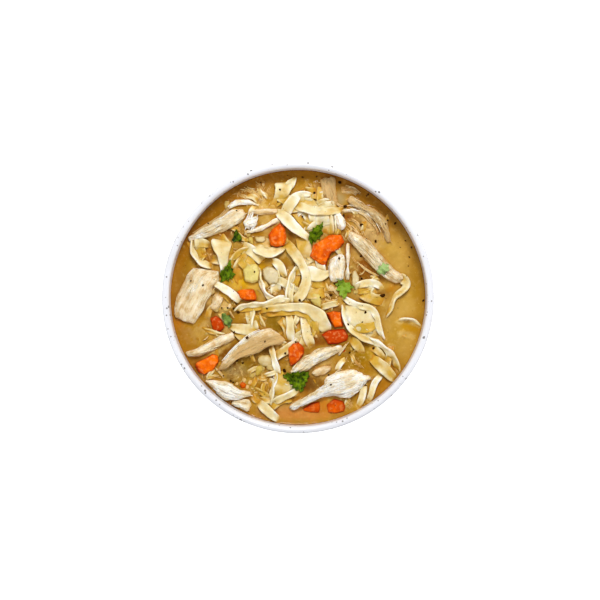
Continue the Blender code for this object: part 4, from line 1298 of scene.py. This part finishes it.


# ---- broth ----

# Where the broth looks different: x, y, half length, half width, turn in degrees, colour, strength. Many are
# the broth's own colour; the brown, olive and dark ones along the back and left of the wall, and some brown,
# tan and dark lines beside and between pieces, are painted shadow.
WASHES = (
    (-60, 50, 16, 5, 50, "gold_brown", 0.7), (-52, 60, 14, 4, 45, "olive", 0.5),
    (-45, 70, 12, 4, 30, "brown", 0.6), (-20, 79, 16, 3, 10, "brown", 0.6),
    (-48, 43, 7, 4.5, 20, "rust", 0.9), (-43, 46, 4, 3, 0, "dark", 0.6), (-35, 41, 3.5, 3.5, 0, "brown", 0.7),
    (-61, 28, 7, 6, 50, "rust_gold", 0.95), (-57, 28, 2, 6, 20, "rust", 0.8),
    (-46, 30, 2, 7, 0, "ochre", 0.9), (-34, 15, 14, 14, 0, "yellow", 0.95),
    (-26, 26, 12, 4.5, 0, "gold_brown", 0.9), (-80, 8, 3, 14, -5, "grey", 0.35),
    (-26, 43, 5, 2.2, 0, "gold_brown", 0.9), (-57, -13, 8, 4, -20, "brown", 0.75),
    (-76, 25, 4, 6, 20, "olive", 0.7), (-40, 8, 6, 5, 0, "yellow", 0.7), (-78, 14, 4, 14, -8, "olive", 0.55),
    (-80, -17, 3, 4, 0, "orange", 0.7), (-71, -25, 9, 9, 0, "gold_brown", 0.55),
    (-64, -12, 4, 6, -20, "gold_brown", 0.6), (-50, 2, 8, 4, -35, "tan", 0.7),
    (-62, -7, 1.6, 3, -30, "dark", 0.6), (-42, -9, 3, 2.5, 45, "dark", 0.9),
    (-37, -13.5, 6, 4, 0, "gold_brown", 0.95), (-12, -13, 4, 3, 0, "dark", 0.8),
    (-14, -18, 7, 8, 0, "olive", 1), (-10, 15, 4, 7, 0, "rust", 0.8), (-16, 6, 7, 4, 0, "rust", 0.7),
    (-20, 27, 8, 3, 0, "gold_brown", 0.8), (13, 7.5, 9, 2.5, 0, "ochre", 0.7), (7, 2, 3, 4, 0, "brown", 0.8),
    (22, 1, 3, 3, 0, "dark", 0.8), (26, -7, 4, 3, 0, "rust", 0.7), (-23, -13, 5, 4, 0, "olive", 0.7),
    (12, -28, 4, 5, 0, "rust", 0.9), (18, -30, 5, 2.5, 0, "rust", 0.8),
    (-8, -37, 3.5, 8, 0, "gold_brown", 0.95), (-21, -38, 4, 7, -10, "dark", 0.85),
    (-38, -43, 12, 8, 20, "olive", 0.95), (-42, -50, 8, 4, 0, "grey", 0.45),
    (-50, -38, 10, 2.5, 38, "brown", 0.9), (-44, -56, 5, 2, -30, "dark", 0.6),
    (-30, -45, 6, 8, 0, "olive", 0.6), (-25, -60, 7, 5, 0, "ochre", 0.7), (-20, -72, 5, 5, 0, "gold", 0.7),
    (-12, -75, 6, 4, 0, "tan", 0.6), (9, -58, 8, 7, 20, "rust", 0.95), (10, -58, 7, 5, 20, "dark", 0.7),
    (0, -68, 8, 3, 15, "rust_gold", 0.7), (0, -78, 22, 4.5, 0, "pink_tan", 0.85),
    (17, -73, 4, 6, 0, "orange", 0.8), (-68, -45, 4, 5, 30, "rust", 0.8), (-62, -53, 6, 3, -30, "grey", 0.5),
    (39, -39, 12, 9, -30, "olive_gold", 1), (46, -47, 6, 5, 0, "gold_brown", 0.8),
    (55, -39, 8, 4, -40, "yellow", 0.6), (63, -45, 3, 5, 20, "orange_brown", 0.8),
    (56, -60, 9, 3, 45, "orange_brown", 0.8), (42, -73, 5, 3, 30, "ochre", 0.6),
    (70, 30, 11, 26, -12, "tan_gold", 0.75), (79, 10, 3, 26, 5, "olive_gold", 0.55),
    (70, -8, 9, 9, 0, "tan_gold", 0.8), (75, -20.5, 7, 2.2, -10, "ochre", 0.95),
    (72, -33, 6, 8, 0, "tan_gold", 0.6), (44, 20, 6, 8, 0, "rust", 0.95), (52, 13, 6, 2, -20, "rust", 0.9),
    (64, 8, 3, 6, -30, "orange_brown", 0.8), (50, -1, 8, 3, 0, "orange_brown", 0.8),
    (57, 2, 5, 3, 0, "brown", 0.7), (34, 54, 5, 2, 0, "rust", 0.95), (34, 34, 4, 5, 0, "rust", 0.8),
    (47, 45, 10, 12, -10, "cream", 0.75), (46, 66, 12, 4, -38, "gold_brown", 0.7),
    (64, 52, 3.5, 10, 32, "olive", 0.5), (28, 66, 4, 5, 0, "grey", 0.7),
    (6, 63.5, 5, 4, 0, "orange_brown", 0.95), (5, 49, 4, 6, 30, "ochre", 0.9),
    (-24, 67, 8, 5, 30, "orange_brown", 0.6), (-5, 40, 2.5, 4, 0, "brown", 0.9),
    (-35, 69, 10, 4, 25, "orange_brown", 0.6), (33, 76, 6, 3, -20, "brown", 0.5),
    (3, 75, 8, 4, 10, "ochre", 0.6), (33, -9, 3, 4, 0, "rust", 0.8), (-30, -33, 5, 3, 0, "tan", 0.5),
    (27, -42, 6, 4, 20, "gold_brown", 0.8), (14, -44, 5, 2, 30, "brown", 0.8),
    (-54, -20, 6, 2.5, -15, "brown", 0.6), (-60, -28, 8, 2.5, 20, "ochre", 0.5),
    (60, -16, 4, 8, 0, "tan_gold", 0.6), (25, 40, 3, 6, 0, "rust", 0.6), (-55, -9, 5, 3, 0, "brown", 0.6),
)
WASH_COLOURS = {
    "gold_brown": (0.4, 0.175, 0.002), "olive": (0.25, 0.135, 0.003), "brown": (0.22, 0.075, 0.001),
    "rust": (0.24, 0.064, 0.002), "dark": (0.07, 0.022, 0.001), "rust_gold": (0.4, 0.14, 0.003),
    "ochre": (0.54, 0.26, 0.002), "yellow": (0.78, 0.45, 0.004), "orange": (0.62, 0.2, 0.012),
    "tan": (0.56, 0.33, 0.1), "tan_gold": (0.6, 0.36, 0.07), "gold": (0.6, 0.33, 0.015),
    "grey": (0.4, 0.31, 0.15), "pink_tan": (0.66, 0.25, 0.05), "olive_gold": (0.34, 0.175, 0.001),
    "orange_brown": (0.47, 0.175, 0.003), "cream": (0.72, 0.5, 0.2),
}
# The colours of what is sunk: fresh, and soaked through.
SUNK = {
    "noodle": ((0.80, 0.58, 0.20), (0.54, 0.27, 0.010)), "chicken": ((0.72, 0.48, 0.18), (0.42, 0.19, 0.015)),
    "carrot": ((0.85, 0.17, 0.006), (0.55, 0.05, 0.002)), "celery": ((0.56, 0.42, 0.07), (0.36, 0.22, 0.02)),
    "onion": ((0.58, 0.43, 0.16), (0.42, 0.28, 0.08)),
}
# Colour of the shadow that the bowl's wall casts on the broth, painted on near the wall.
WALL_SHADOW_COLOUR = Vector((0.38, 0.135, 0.001))
# The bowl's wall shades the broth most on this side, in degrees from the right.
SHADED_SIDE = 118.0
# How many rays look down into the broth at each point of its surface.
SOUNDINGS = 4


def washed(place, colour):
    """The broth's colour at a place, after the washes that reach it."""
    x, y = place.x / MM, place.y / MM
    for middle_x, middle_y, long_half, short_half, turn, name, strength in WASHES:
        dx, dy = x - middle_x, y - middle_y
        reach = 2.2 * max(long_half, short_half)
        if dx * dx + dy * dy > reach * reach:
            continue
        c, s = math.cos(math.radians(turn)), math.sin(math.radians(turn))
        far = math.hypot((dx * c + dy * s) / long_half, (dy * c - dx * s) / short_half)
        far *= 1.0 + 0.35 * wave(place, 0.0032, middle_x)
        colour = colour.lerp(Vector(WASH_COLOURS[name]), strength * math.exp(-far ** 3 * 0.8))
    return colour


def broth_material():
    """Clear stock with a wet shine; its colour carries what is sunk in it, and painted shade next to the
    food.
    """
    recipe = new_material("chicken_broth", 0.1, 0.12)
    place = recipe.object_place()
    busy = recipe.attribute("soup", "Alpha")
    cloud = recipe.ramp(recipe.noise(place, 150.0, 4.0, 0.6), 0.36, 0.66)
    colour = recipe.attribute("soup")
    amount = recipe.math("MULTIPLY_ADD", busy, 0.5, 0.16)
    colour = recipe.mix(recipe.math("MULTIPLY", cloud, amount), colour, (0.20, 0.065, 0.001))
    bit = recipe.ramp(recipe.noise(place, 430.0, 3.0, 0.6), 0.50, 0.72)
    amount = recipe.math("MULTIPLY_ADD", busy, 0.5, 0.12)
    colour = recipe.mix(recipe.math("MULTIPLY", bit, amount), colour, (0.80, 0.54, 0.18))
    # Painted shade: the broth darkens where it is close to the food.
    shaded = recipe.mix(1.0, colour, (0.58, 0.37, 0.08), blend="MULTIPLY")
    colour = recipe.mix(recipe.gap_shade(0.0045, 0.3, 0.95), colour, shaded, 0.66)
    drop = recipe.dots(380.0, 0.34, 0.72)
    colour = recipe.mix(drop, colour, (0.85, 0.60, 0.14), 0.22)
    return recipe.finish(colour, recipe.plus(recipe.noise(place, 120.0), drop, 0.25), 0.12, 0.0006)


def face_tones(pieces):
    """The tone of every face of several objects, in the order that tree_of lists them."""
    result = []
    for piece in pieces:
        layer = piece.data.color_attributes["tone"]
        result.extend(layer.data[face.vertices[0]].color[0] for face in piece.data.polygons)
    return result


def broth_sheet(cell, radius):
    """A fine grid out to the wall, closed below by a skirt along the wall."""
    count = int(2.0 * radius / cell) + 2
    broth = new_grid("broth_surface", count, count, count * cell * MM)
    shape = opened(broth.data)
    bmesh.ops.translate(shape, verts=shape.verts, vec=(0.0, 0.0, LEVEL * MM))
    outside = [v for v in shape.verts if math.hypot(v.co.x, v.co.y) / MM > radius + 0.72 * cell]
    bmesh.ops.delete(shape, geom=outside, context="VERTS")
    for vertex in shape.verts:
        reach = math.hypot(vertex.co.x, vertex.co.y) / MM
        if reach > radius - 0.3 * cell or vertex.is_boundary:
            vertex.co.x *= radius / reach
            vertex.co.y *= radius / reach
    rim = [edge for edge in shape.edges if edge.is_boundary]
    skirt = bmesh.ops.extrude_edge_only(shape, edges=rim)["geom"]
    for vertex in (item for item in skirt if isinstance(item, bmesh.types.BMVert)):
        vertex.co.z -= 8.0 * MM
        vertex.co.x *= 0.985
        vertex.co.y *= 0.985
    bottom = [edge for edge in shape.edges if edge.is_boundary]
    bmesh.ops.contextual_create(shape, geom=bottom)
    bmesh.ops.recalc_face_normals(shape, faces=shape.faces[:])
    close(shape, broth.data)
    return broth


def seen_below(place, food, chance, clear):
    """The colour of what is sunk under a place, and how much of it shows through the broth."""
    total = Vector((0.0, 0.0, 0.0))
    weight = 0.0
    for _sounding in range(SOUNDINGS):
        start = place + Vector((chance.uniform(-1, 1), chance.uniform(-1, 1), 0.0)) * 0.8 * MM
        nearest = None
        for slot, (tree, tones) in food.items():
            hit = tree.ray_cast(start + DOWN * 0.02 * MM, DOWN, 9.0 * MM)
            if hit[0] is not None and (nearest is None or hit[3] < nearest[0]):
                nearest = (hit[3], slot, tones[hit[2]])
        if nearest:
            depth, slot, tone = nearest
            share = math.exp(-depth / clear)
            fresh, soaked_through = (Vector(part) for part in SUNK[slot])
            total += fresh.lerp(soaked_through, clamp(tone, 0.0, 1.2)) * share
            weight += share
    return (total / weight if weight else total), min(0.92, weight / SOUNDINGS)


def clear_broth(place, reach, settings):
    """The colour of broth with nothing in it: darker in random patches, and with painted shade in the middle
    among the food and near the wall.
    """
    patch = 0.5 + 0.5 * wave(place, 0.012, 2.0)
    wall = clamp((reach - 74.0) / 10.0)
    middle = clamp((68.0 - reach) / 14.0)
    # The patch is the broth's own uneven colour; middle and wall are painted shade.
    shade = min(1.0, 0.05 + 0.35 * patch + 0.30 * middle + 0.25 * wall)
    return Vector(settings.broth).lerp(Vector(settings.deep_and_shaded), shade)


def build_broth(settings):
    """The broth's surface out to the wall, raised where it clings, coloured by what lies in it, with painted
    shade among the food and the wall's painted shadow near the wall.
    """
    radius = BROTH_RADIUS + 0.4
    broth = broth_sheet(settings.cell / MM, radius)
    by_slot = {}
    for piece in finished_pieces("stoneware", "broth"):
        by_slot.setdefault(piece["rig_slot"], []).append(piece)
    food = {slot: (tree_of(pieces), face_tones(pieces)) for slot, pieces in by_slot.items()}
    everything = tree_of([piece for pieces in by_slot.values() for piece in pieces])
    chance = random.Random(5)
    colours = []
    rises = []
    for vertex in broth.data.vertices:
        place = vertex.co
        if place.z < (LEVEL - 1.0) * MM:
            colours.append((*settings.deep_and_shaded, 1.0))
            rises.append(0.0)
            continue
        reach = place.xy.length / MM
        colour = clear_broth(place, reach, settings)
        sunk, covered = seen_below(place, food, chance, settings.clear_depth)
        colour = colour.lerp(sunk, covered)
        colour = colour.lerp(washed(place, colour), 1.0 - 0.3 * covered)
        # Painted shadow of the wall: near the wall the broth takes the shadow colour, most on the shaded
        # side.
        back = 0.5 + 0.5 * math.cos(math.atan2(place.y, place.x) - math.radians(SHADED_SIDE))
        colour = colour.lerp(WALL_SHADOW_COLOUR, 0.85 * back * clamp((reach - 73.0) / 8.0))
        busy = max(math.exp(-((place.x / MM - x) ** 2 + (place.y / MM - y) ** 2) / (0.9 * spread * spread))
                   for x, y, spread in BUSY)
        colours.append((*colour, busy))
        near = everything.find_nearest(place, 4.0 * MM)
        cling = 0.45 * math.exp(-near[3] / MM / 0.7) if near[0] is not None else 0.0
        rises.append(MM * (cling + 0.9 * math.exp(-max(0.0, radius - reach) / 1.1)))
    for vertex, rise in zip(broth.data.vertices, rises):
        vertex.co.z += rise
    set_tone(broth, colours, "soup")
    hand_in(broth, broth_material(), "broth", "broth")


# ---- parsley and pepper ----

# Each leaf: brightness, which paints it from its colour in shade to its colour in light, paleness, ruffle,
# its base and tip, and its outline.
LEAVES = {
    "back_left": (0.12, 0, 0.3, (-41, 37), (-41, 45.5), ((-44.5, 38.5), (-43, 41), (-43, 43), (-41, 45.8),
        (-40, 43.5), (-38.5, 42), (-37.3, 39), (-38.5, 37), (-41, 37.8), (-43, 36.8))),
    "back": (0.28, 0, 0.4, (8.5, 36), (16.5, 50.5), ((8, 36.5), (7, 39.5), (7.8, 42.5), (7.2, 43.6),
        (9.5, 44.5), (9.8, 46.6), (11.5, 46.8), (12.6, 48.6), (14.5, 48.4), (16.6, 50.8), (16.9, 47),
        (15.8, 44.8), (17, 42.4), (14.8, 41), (15, 38.8), (12.8, 39.2), (11.6, 37), (10.4, 37.4), (9.5, 35))),
    "left": (0.26, 0, 0.5, (-51.5, 10), (-45, 25), ((-52.2, 9.8), (-51.4, 13), (-52.4, 15), (-51.5, 18),
        (-49.8, 18), (-49, 20.8), (-47.4, 21), (-46.6, 23.6), (-45, 25.3), (-44.6, 22), (-45, 20), (-43, 19),
        (-43.9, 17), (-41.6, 15.4), (-43.2, 14), (-44.2, 12.2), (-46, 12.6), (-46.2, 10.4), (-48.3, 11.6),
        (-50.2, 10.6))),
    "right_pale": (0.5, 0.75, 0.5, (54, 15), (60, 22), ((52.3, 17.5), (53.8, 19.2), (53.2, 20.8),
        (55.5, 21.2), (56.4, 23.4), (58, 21.8), (60.6, 22.2), (60.2, 19.6), (61, 18), (58.8, 17),
        (57.6, 14.8), (56, 16), (54.4, 15))),
    "right": (1, 0.15, 0.8, (31, 0), (30.5, 12), ((26.2, 12.4), (28.4, 10.8), (30.5, 11.8), (31.8, 9.8),
        (34.6, 10.2), (35.2, 8.2), (37.8, 6.2), (35, 5.8), (35.8, 3.4), (33, 3.2), (32.4, 0.6), (30.4, -1.6),
        (29.4, 1), (27.2, 1.4), (27.9, 4.2), (25.2, 4.8), (26.8, 7), (24.4, 8.8), (26.9, 9.8))),
    "low_left": (0.3, 0.25, 0.3, (-50.5, -11), (-45.5, -20.5), ((-51.2, -10.8), (-51, -14.5), (-49.6, -15.4),
        (-49.2, -18), (-47.4, -18.6), (-46.3, -21), (-44.8, -18.5), (-44.6, -16.8), (-43.6, -15.2),
        (-45.2, -13.6), (-45.6, -11.8), (-47.6, -12.2), (-48.6, -10.6))),
    "front": (0.3, 0, 1.1, (1, -63), (-3, -50), ((-10.2, -51.4), (-8.4, -51.8), (-7.2, -50), (-5.2, -51.2),
        (-3.6, -49.8), (-1.6, -50.6), (-0.4, -48.8), (1.6, -50.4), (3.6, -49), (5, -50.2), (7.4, -49.4),
        (7, -51.6), (8, -53), (6, -54.2), (6.6, -56.4), (4.8, -57), (5.2, -59.4), (3.6, -60), (3.8, -62.4),
        (1.7, -63.6), (0.8, -61.4), (-1.2, -62.8), (-2.2, -60.6), (-4.2, -60.6), (-3.4, -58), (-5.6, -58),
        (-5.8, -55.8), (-7.4, -56), (-7.6, -53.8), (-9.6, -53.6))),
}
# Each large flake of pepper: x, y and size.
PEPPER = (
    (3, 80.5, 1.4), (12.5, 81, 1.3), (28, 77, 1.8), (11, 70, 1.7), (-12, 72, 1.8), (-13.5, 64, 1.1),
    (3, 54, 1.4), (31.5, 61, 2.4), (30.5, 54.5, 2.4), (42.5, 48.5, 2), (60, 51.5, 1.6), (58.5, 49, 1.3),
    (65, 49.5, 1.7), (46, 39, 1.2), (52, 37.5, 2.2), (27.5, 26, 1.7), (42, 27.5, 1.8), (34.5, 15, 1.6),
    (24.5, 9, 1.3), (42.5, 12.5, 1.5), (56.5, 1.2, 3.2), (84, -2, 1.6), (72, 38, 1), (76, 33.5, 1.3),
    (68.5, 33.5, 0.9), (74.5, 27, 1.3), (74, 21, 1), (-2, 21, 1.1), (1.2, -2, 2), (-29, 17, 1.2),
    (-63.5, 8, 1.6), (-41, 58, 1.3), (-34, -27, 2.2), (-42.5, -23, 1.5), (-8.5, -37.5, 1.6), (-9, -49, 2.2),
    (-1.5, -30, 1.8), (45, -10, 1.9), (33.5, -18, 1.8), (43, -16.5, 1.1), (50.5, -34, 2), (34.5, -37, 1.6),
    (28, -38.5, 1.5), (20.5, -52, 1.3), (22, -58.5, 1.5), (45.5, -59, 1.1), (-20.8, -7.5, 1.4),
    (-51, -7, 1.3), (15, 0, 1.2), (22, 1.5, 2), (-45, -56, 2), (-43.5, -57, 1.6), (-37, -44, 1.5),
    (-41, -42.5, 1.4), (-50, -52.5, 1.2), (-43, -7.5, 2), (-40, -10, 2.4), (-41.5, -4.5, 1.2), (-47, -7, 1.3),
    (31, -3, 1), (-60, 49.5, 1.2), (-22, -29.5, 1.4), (-10.5, 34, 1.2), (-71.5, 11, 1.2), (-25, 77, 1.2),
    (46, 68, 1), (27, 8, 0.9), (47, 69, 1.4),
)
# How many fine specks of pepper there are, and how far out they lie.
SPECKS = 210
SPECK_REACH = 82.0


def leaf_material(settings):
    """Parsley: darker between its veins; painted light, from its colour in shade to its colour in light, by
    each leaf's brightness and a painted highlight where it curls up; painted shade in narrow gaps.
    """
    recipe = new_material("parsley_leaf", 0.4, 0.05, 0.1, (0.3, 1.0, 0.1), 0.0008)
    light, paleness, vein = list(recipe.split(recipe.attribute("tone")))[:3]
    patches, grain = recipe.mottle(260.0, 900.0)
    colour = recipe.mix(recipe.plus(light, patches, 0.14), settings.dark, settings.bright)
    colour = recipe.mix(paleness, colour, (0.44, 0.60, 0.24))
    colour = recipe.mix(vein, colour, (0.24, 0.34, 0.02), 0.35)
    # Painted shade: the leaf's colour in shade where gaps are narrow.
    colour = recipe.mix(recipe.gap_shade(0.003, 0.4, 0.95), colour, settings.dark, 0.7)
    return recipe.finish(colour, grain, 0.4, 0.0003)


def pepper_material(settings):
    """Cracked pepper: nearly black hull with brown breaks."""
    recipe = new_material("cracked_pepper", 0.8, 0.02)
    patches, grain = recipe.mottle(700.0, 1800.0)
    colour = recipe.mix(patches, settings.pepper, [3.0 * part for part in settings.pepper])
    return recipe.finish(colour, grain, 0.5, 0.0002)


def surface_height(tree, x, y):
    """Height of what shows at a place, in metres."""
    hit = tree.ray_cast(Vector((x * MM, y * MM, LOOKOUT)), DOWN)
    return LEVEL * MM if hit[0] is None else hit[0].z


def inside(x, y, outline):
    """Whether a point is inside an outline."""
    found = False
    for (ax, ay), (bx, by) in zip(outline, outline[1:] + outline[:1]):
        if (ay > y) != (by > y) and x < (bx - ax) * (y - ay) / (by - ay) + ax:
            found = not found
    return found


def leaf(name, data, tree, settings, seed):
    """A toothed leaf cut from a grid by its outline, draped over what it lies on."""
    brightness, paleness, ruffle, base, tip, outline = data
    cell = 0.3
    low_x, high_x = min(x for x, _ in outline), max(x for x, _ in outline)
    low_y, high_y = min(y for _, y in outline), max(y for _, y in outline)
    blade = new_grid(name, int((high_x - low_x) / cell) + 1, int((high_y - low_y) / cell) + 1)
    shape = opened(blade.data)
    for vertex in shape.verts:
        vertex.co.x = (low_x + high_x + vertex.co.x * (high_x - low_x)) / 2.0
        vertex.co.y = (low_y + high_y + vertex.co.y * (high_y - low_y)) / 2.0
    outside = [face for face in shape.faces
               if not inside(face.calc_center_median().x, face.calc_center_median().y, outline)]
    bmesh.ops.delete(shape, geom=outside, context="FACES")
    edge = [vertex for vertex in shape.verts if vertex.is_boundary]
    bmesh.ops.smooth_vert(shape, verts=edge, factor=0.5, use_axis_x=True, use_axis_y=True, use_axis_z=False)
    close(shape, blade.data)
    axis = (Vector(tip) - Vector(base)).normalized()
    tones = []
    for vertex in blade.data.vertices:
        x, y = vertex.co.xy
        place = vertex.co.xy - Vector(base)
        along = place.dot(axis)
        across = abs(place.x * axis.y - place.y * axis.x)
        ground = max(surface_height(tree, x + dx, y + dy)
                     for dx, dy in ((0, 0), (0.9, 0), (-0.9, 0), (0, 0.9), (0, -0.9))) / MM
        curl = wave((x, y, seed), 2.2)
        lift = 0.35 + 0.12 * across + ruffle * (0.5 * curl + 0.25 * wave((x, y, seed), 1.0))
        # The shine is a painted highlight, brighter where the leaf curls up.
        shine = 0.55 * curl + 0.35 * wave((x, y, seed + 5.0), 0.9)
        midrib = max(0.0, 1.0 - across / 0.22)
        side_veins = 0.5 * max(0.0, 1.0 - abs((along - 0.8 * across) % 2.4 - 1.2) / 0.16)
        tones.append((brightness + shine, paleness * (0.8 + curl), min(1.0, midrib + side_veins), 1.0))
        vertex.co = Vector((x, y, ground + lift)) * MM
    set_tone(blade, tones)
    finish_with(blade, "SMOOTH", factor=0.5, iterations=4, use_x=False, use_y=False, use_z=True)
    finish_with(blade, "SOLIDIFY", thickness=settings.leaf_thickness, offset=0.0)
    return blade


def build_parsley(settings):
    """Torn parsley on top of the soup."""
    tree = tree_of(finished_pieces("stoneware"))
    material = leaf_material(settings)
    for number, (name, data) in enumerate(LEAVES.items()):
        hand_in(leaf("parsley_" + name, data, tree, settings, 3.0 + number), material, "parsley")


def flake(shape, tree, x, y, rise, size, chance):
    """Add one angular flake to a mesh, at a height over what it lies on."""
    place = Vector((x * MM, y * MM, surface_height(tree, x, y) + rise * MM))
    turn = Matrix.Rotation(chance.uniform(0, math.tau), 4, "Z")
    tilt = Matrix.Rotation(chance.uniform(-0.5, 0.5), 4, "X")
    sides = [chance.uniform(low, high) for low, high in ((0.8, 1.25), (0.55, 0.9), (0.35, 0.6))]
    made = bmesh.ops.create_icosphere(
        shape, subdivisions=1, radius=size * MM / 2.0,
        matrix=Matrix.Translation(place) @ turn @ tilt @ Matrix.Diagonal((*sides, 1.0)))
    for vertex in made["verts"]:
        vertex.co += Vector([chance.uniform(-1, 1) for _axis in range(3)]) * size * MM * 0.09


def build_pepper(settings):
    """Cracked pepper: the large flakes where they lie, and fine specks all over."""
    tree = tree_of(finished_pieces("stoneware"))
    chance = random.Random(23)
    shape = bmesh.new()
    for x, y, size in PEPPER:
        flake(shape, tree, x, y, 0.12 * size, 1.2 * size, chance)
    for _number in range(SPECKS):
        x, y, _turn = scattered(chance, 0.0, 0.0, SPECK_REACH)
        size = chance.choice((0.35, 0.4, 0.5, 0.7))
        flake(shape, tree, x, y, 0.1 * size, size, chance)
    hand_in(drawn(shape, "pepper_flakes"), pepper_material(settings), "pepper")


# ---- stage ----

# Side of the floor in metres, and its own light as the camera sees it.
FLOOR_SIZE = 16.0
FLOOR_GLOW = 0.95
# Light of the surroundings, and how much brighter the camera sees them.
SKY_LIGHT = 0.38
SKY_SEEN = 0.50
# The view's middle is a little to the right and front of the bowl's, in metres.
VIEW_SHIFT = (0.00132, -0.00178)
# Each light: place in metres, width, power, colour.
LIGHTS = {
    "key_softbox": ((0.12, 0.62, 0.95), 0.36, 9.3, (1.0, 0.985, 0.96)),
    "left_softbox": ((-0.95, -0.2, 0.45), 0.7, 3.8, (0.96, 0.98, 1.0)),
    "right_softbox": ((0.95, -0.3, 0.45), 0.7, 3.0, (0.96, 0.98, 1.0)),
    "front_softbox": ((0.0, -1.1, 0.25), 0.8, 3.0, (1.0, 1.0, 1.0)),
    "back_softbox": ((0.0, 1.2, 0.2), 0.7, 2.4, (1.0, 1.0, 1.0)),
}


def build_stage(settings):
    """Pale floor, soft light from the back and low around, and the camera straight above."""
    bpy.ops.object.select_all(action="DESELECT")
    bpy.ops.mesh.primitive_plane_add(size=FLOOR_SIZE)
    floor = bpy.context.object
    floor.name = "floor"
    recipe = new_material("floor_white", 0.9, 0.1)
    seen = recipe.add("ShaderNodeLightPath").outputs["Is Camera Ray"]
    recipe.put(recipe.shader.inputs["Base Color"], settings.floor)
    recipe.put(recipe.shader.inputs["Emission Color"], (1.0, 1.0, 1.0))
    recipe.put(recipe.shader.inputs["Emission Strength"], recipe.math("MULTIPLY", seen, FLOOR_GLOW))
    floor.data.materials.append(recipe.material)

    scene = bpy.context.scene
    scene.view_settings.view_transform = "Standard"
    scene.world = bpy.data.worlds.new("studio")
    scene.world.use_nodes = True
    sky = Recipe(scene.world.node_tree)
    background = sky.tree.nodes["Background"]
    seen = sky.add("ShaderNodeLightPath").outputs["Is Camera Ray"]
    sky.put(background.inputs["Color"], (0.93, 0.96, 1.0))
    sky.put(background.inputs["Strength"], sky.math("MULTIPLY_ADD", seen, SKY_SEEN, SKY_LIGHT))

    for name, (place, size, power, colour) in LIGHTS.items():
        light = bpy.data.lights.new(name, "AREA")
        light.size = size
        light.energy = power
        light.color = colour
        lamp = linked(name, light)
        lamp.location = place
        aim = Vector((0.0, 0.0, LEVEL * MM)) - Vector(place)
        lamp.rotation_euler = aim.to_track_quat("-Z", "Y").to_euler()

    view = bpy.data.cameras.new("camera")
    view.sensor_width = 36.0
    view.lens = view.sensor_width * settings.camera_distance / settings.view_width
    view.clip_start = 0.05
    camera = linked("camera", view)
    camera.location = (*VIEW_SHIFT, RIM_HEIGHT * MM + settings.camera_distance)
    scene.camera = camera


# ---- operators and panel ----

class SOUP_OT_bowl(bpy.types.Operator):
    """Spin the stoneware bowl and glaze it"""
    bl_idname = "soup.bowl"
    bl_label = "Stoneware Bowl"

    def execute(self, context):
        build_bowl(context.scene.soup_bowl)
        return {"FINISHED"}


class SOUP_OT_noodles(bpy.types.Operator):
    """Lay the egg noodles and the sunk ones under them"""
    bl_idname = "soup.noodles"
    bl_label = "Egg Noodles"

    def execute(self, context):
        build_noodles(context.scene.soup_noodles)
        return {"FINISHED"}


class SOUP_OT_chicken(bpy.types.Operator):
    """Shred the chicken pieces"""
    bl_idname = "soup.chicken"
    bl_label = "Chicken"

    def execute(self, context):
        build_chicken(context.scene.soup_chicken)
        return {"FINISHED"}


class SOUP_OT_vegetables(bpy.types.Operator):
    """Cook the carrot, celery and onion soft"""
    bl_idname = "soup.vegetables"
    bl_label = "Vegetables"

    def execute(self, context):
        build_vegetables(context.scene.soup_vegetables)
        return {"FINISHED"}


class SOUP_OT_broth(bpy.types.Operator):
    """Fill in the broth around the food"""
    bl_idname = "soup.broth"
    bl_label = "Broth"

    def execute(self, context):
        build_broth(context.scene.soup_broth)
        return {"FINISHED"}


class SOUP_OT_parsley(bpy.types.Operator):
    """Lay the parsley leaves on the soup"""
    bl_idname = "soup.parsley"
    bl_label = "Parsley"

    def execute(self, context):
        build_parsley(context.scene.soup_herbs)
        return {"FINISHED"}


class SOUP_OT_pepper(bpy.types.Operator):
    """Scatter cracked pepper"""
    bl_idname = "soup.pepper"
    bl_label = "Pepper"

    def execute(self, context):
        build_pepper(context.scene.soup_herbs)
        return {"FINISHED"}


class SOUP_OT_stage(bpy.types.Operator):
    """Set up the floor, lights and camera"""
    bl_idname = "soup.stage"
    bl_label = "Stage"

    def execute(self, context):
        build_stage(context.scene.soup_stage)
        return {"FINISHED"}


class SOUP_PT_panel(bpy.types.Panel):
    """The steps of the soup, in order"""
    bl_idname = "SOUP_PT_panel"
    bl_label = "Chicken Noodle Soup"
    bl_space_type = "VIEW_3D"
    bl_region_type = "UI"
    bl_category = "Soup"

    def draw(self, context):
        for step in STEPS:
            self.layout.operator(step.bl_idname)


STEPS = (SOUP_OT_bowl, SOUP_OT_noodles, SOUP_OT_chicken, SOUP_OT_vegetables, SOUP_OT_broth, SOUP_OT_parsley,
         SOUP_OT_pepper, SOUP_OT_stage)
SETTINGS = {
    "soup_bowl": SoupBowlSettings, "soup_broth": SoupBrothSettings, "soup_noodles": SoupNoodleSettings,
    "soup_chicken": SoupChickenSettings, "soup_vegetables": SoupVegetableSettings,
    "soup_herbs": SoupHerbSettings, "soup_stage": SoupStageSettings,
}


def register():
    for name, group in SETTINGS.items():
        bpy.utils.register_class(group)
        setattr(bpy.types.Scene, name, bpy.props.PointerProperty(type=group))
    for item in (*STEPS, SOUP_PT_panel):
        bpy.utils.register_class(item)


def unregister():
    for item in (SOUP_PT_panel, *reversed(STEPS)):
        bpy.utils.unregister_class(item)
    for name, group in SETTINGS.items():
        delattr(bpy.types.Scene, name)
        bpy.utils.unregister_class(group)


def main():
    register()
    bpy.ops.soup.bowl()
    bpy.ops.soup.noodles()
    bpy.ops.soup.chicken()
    bpy.ops.soup.vegetables()
    bpy.ops.soup.broth()
    bpy.ops.soup.parsley()
    bpy.ops.soup.pepper()
    bpy.ops.soup.stage()


if __name__ == "__main__":
    main()
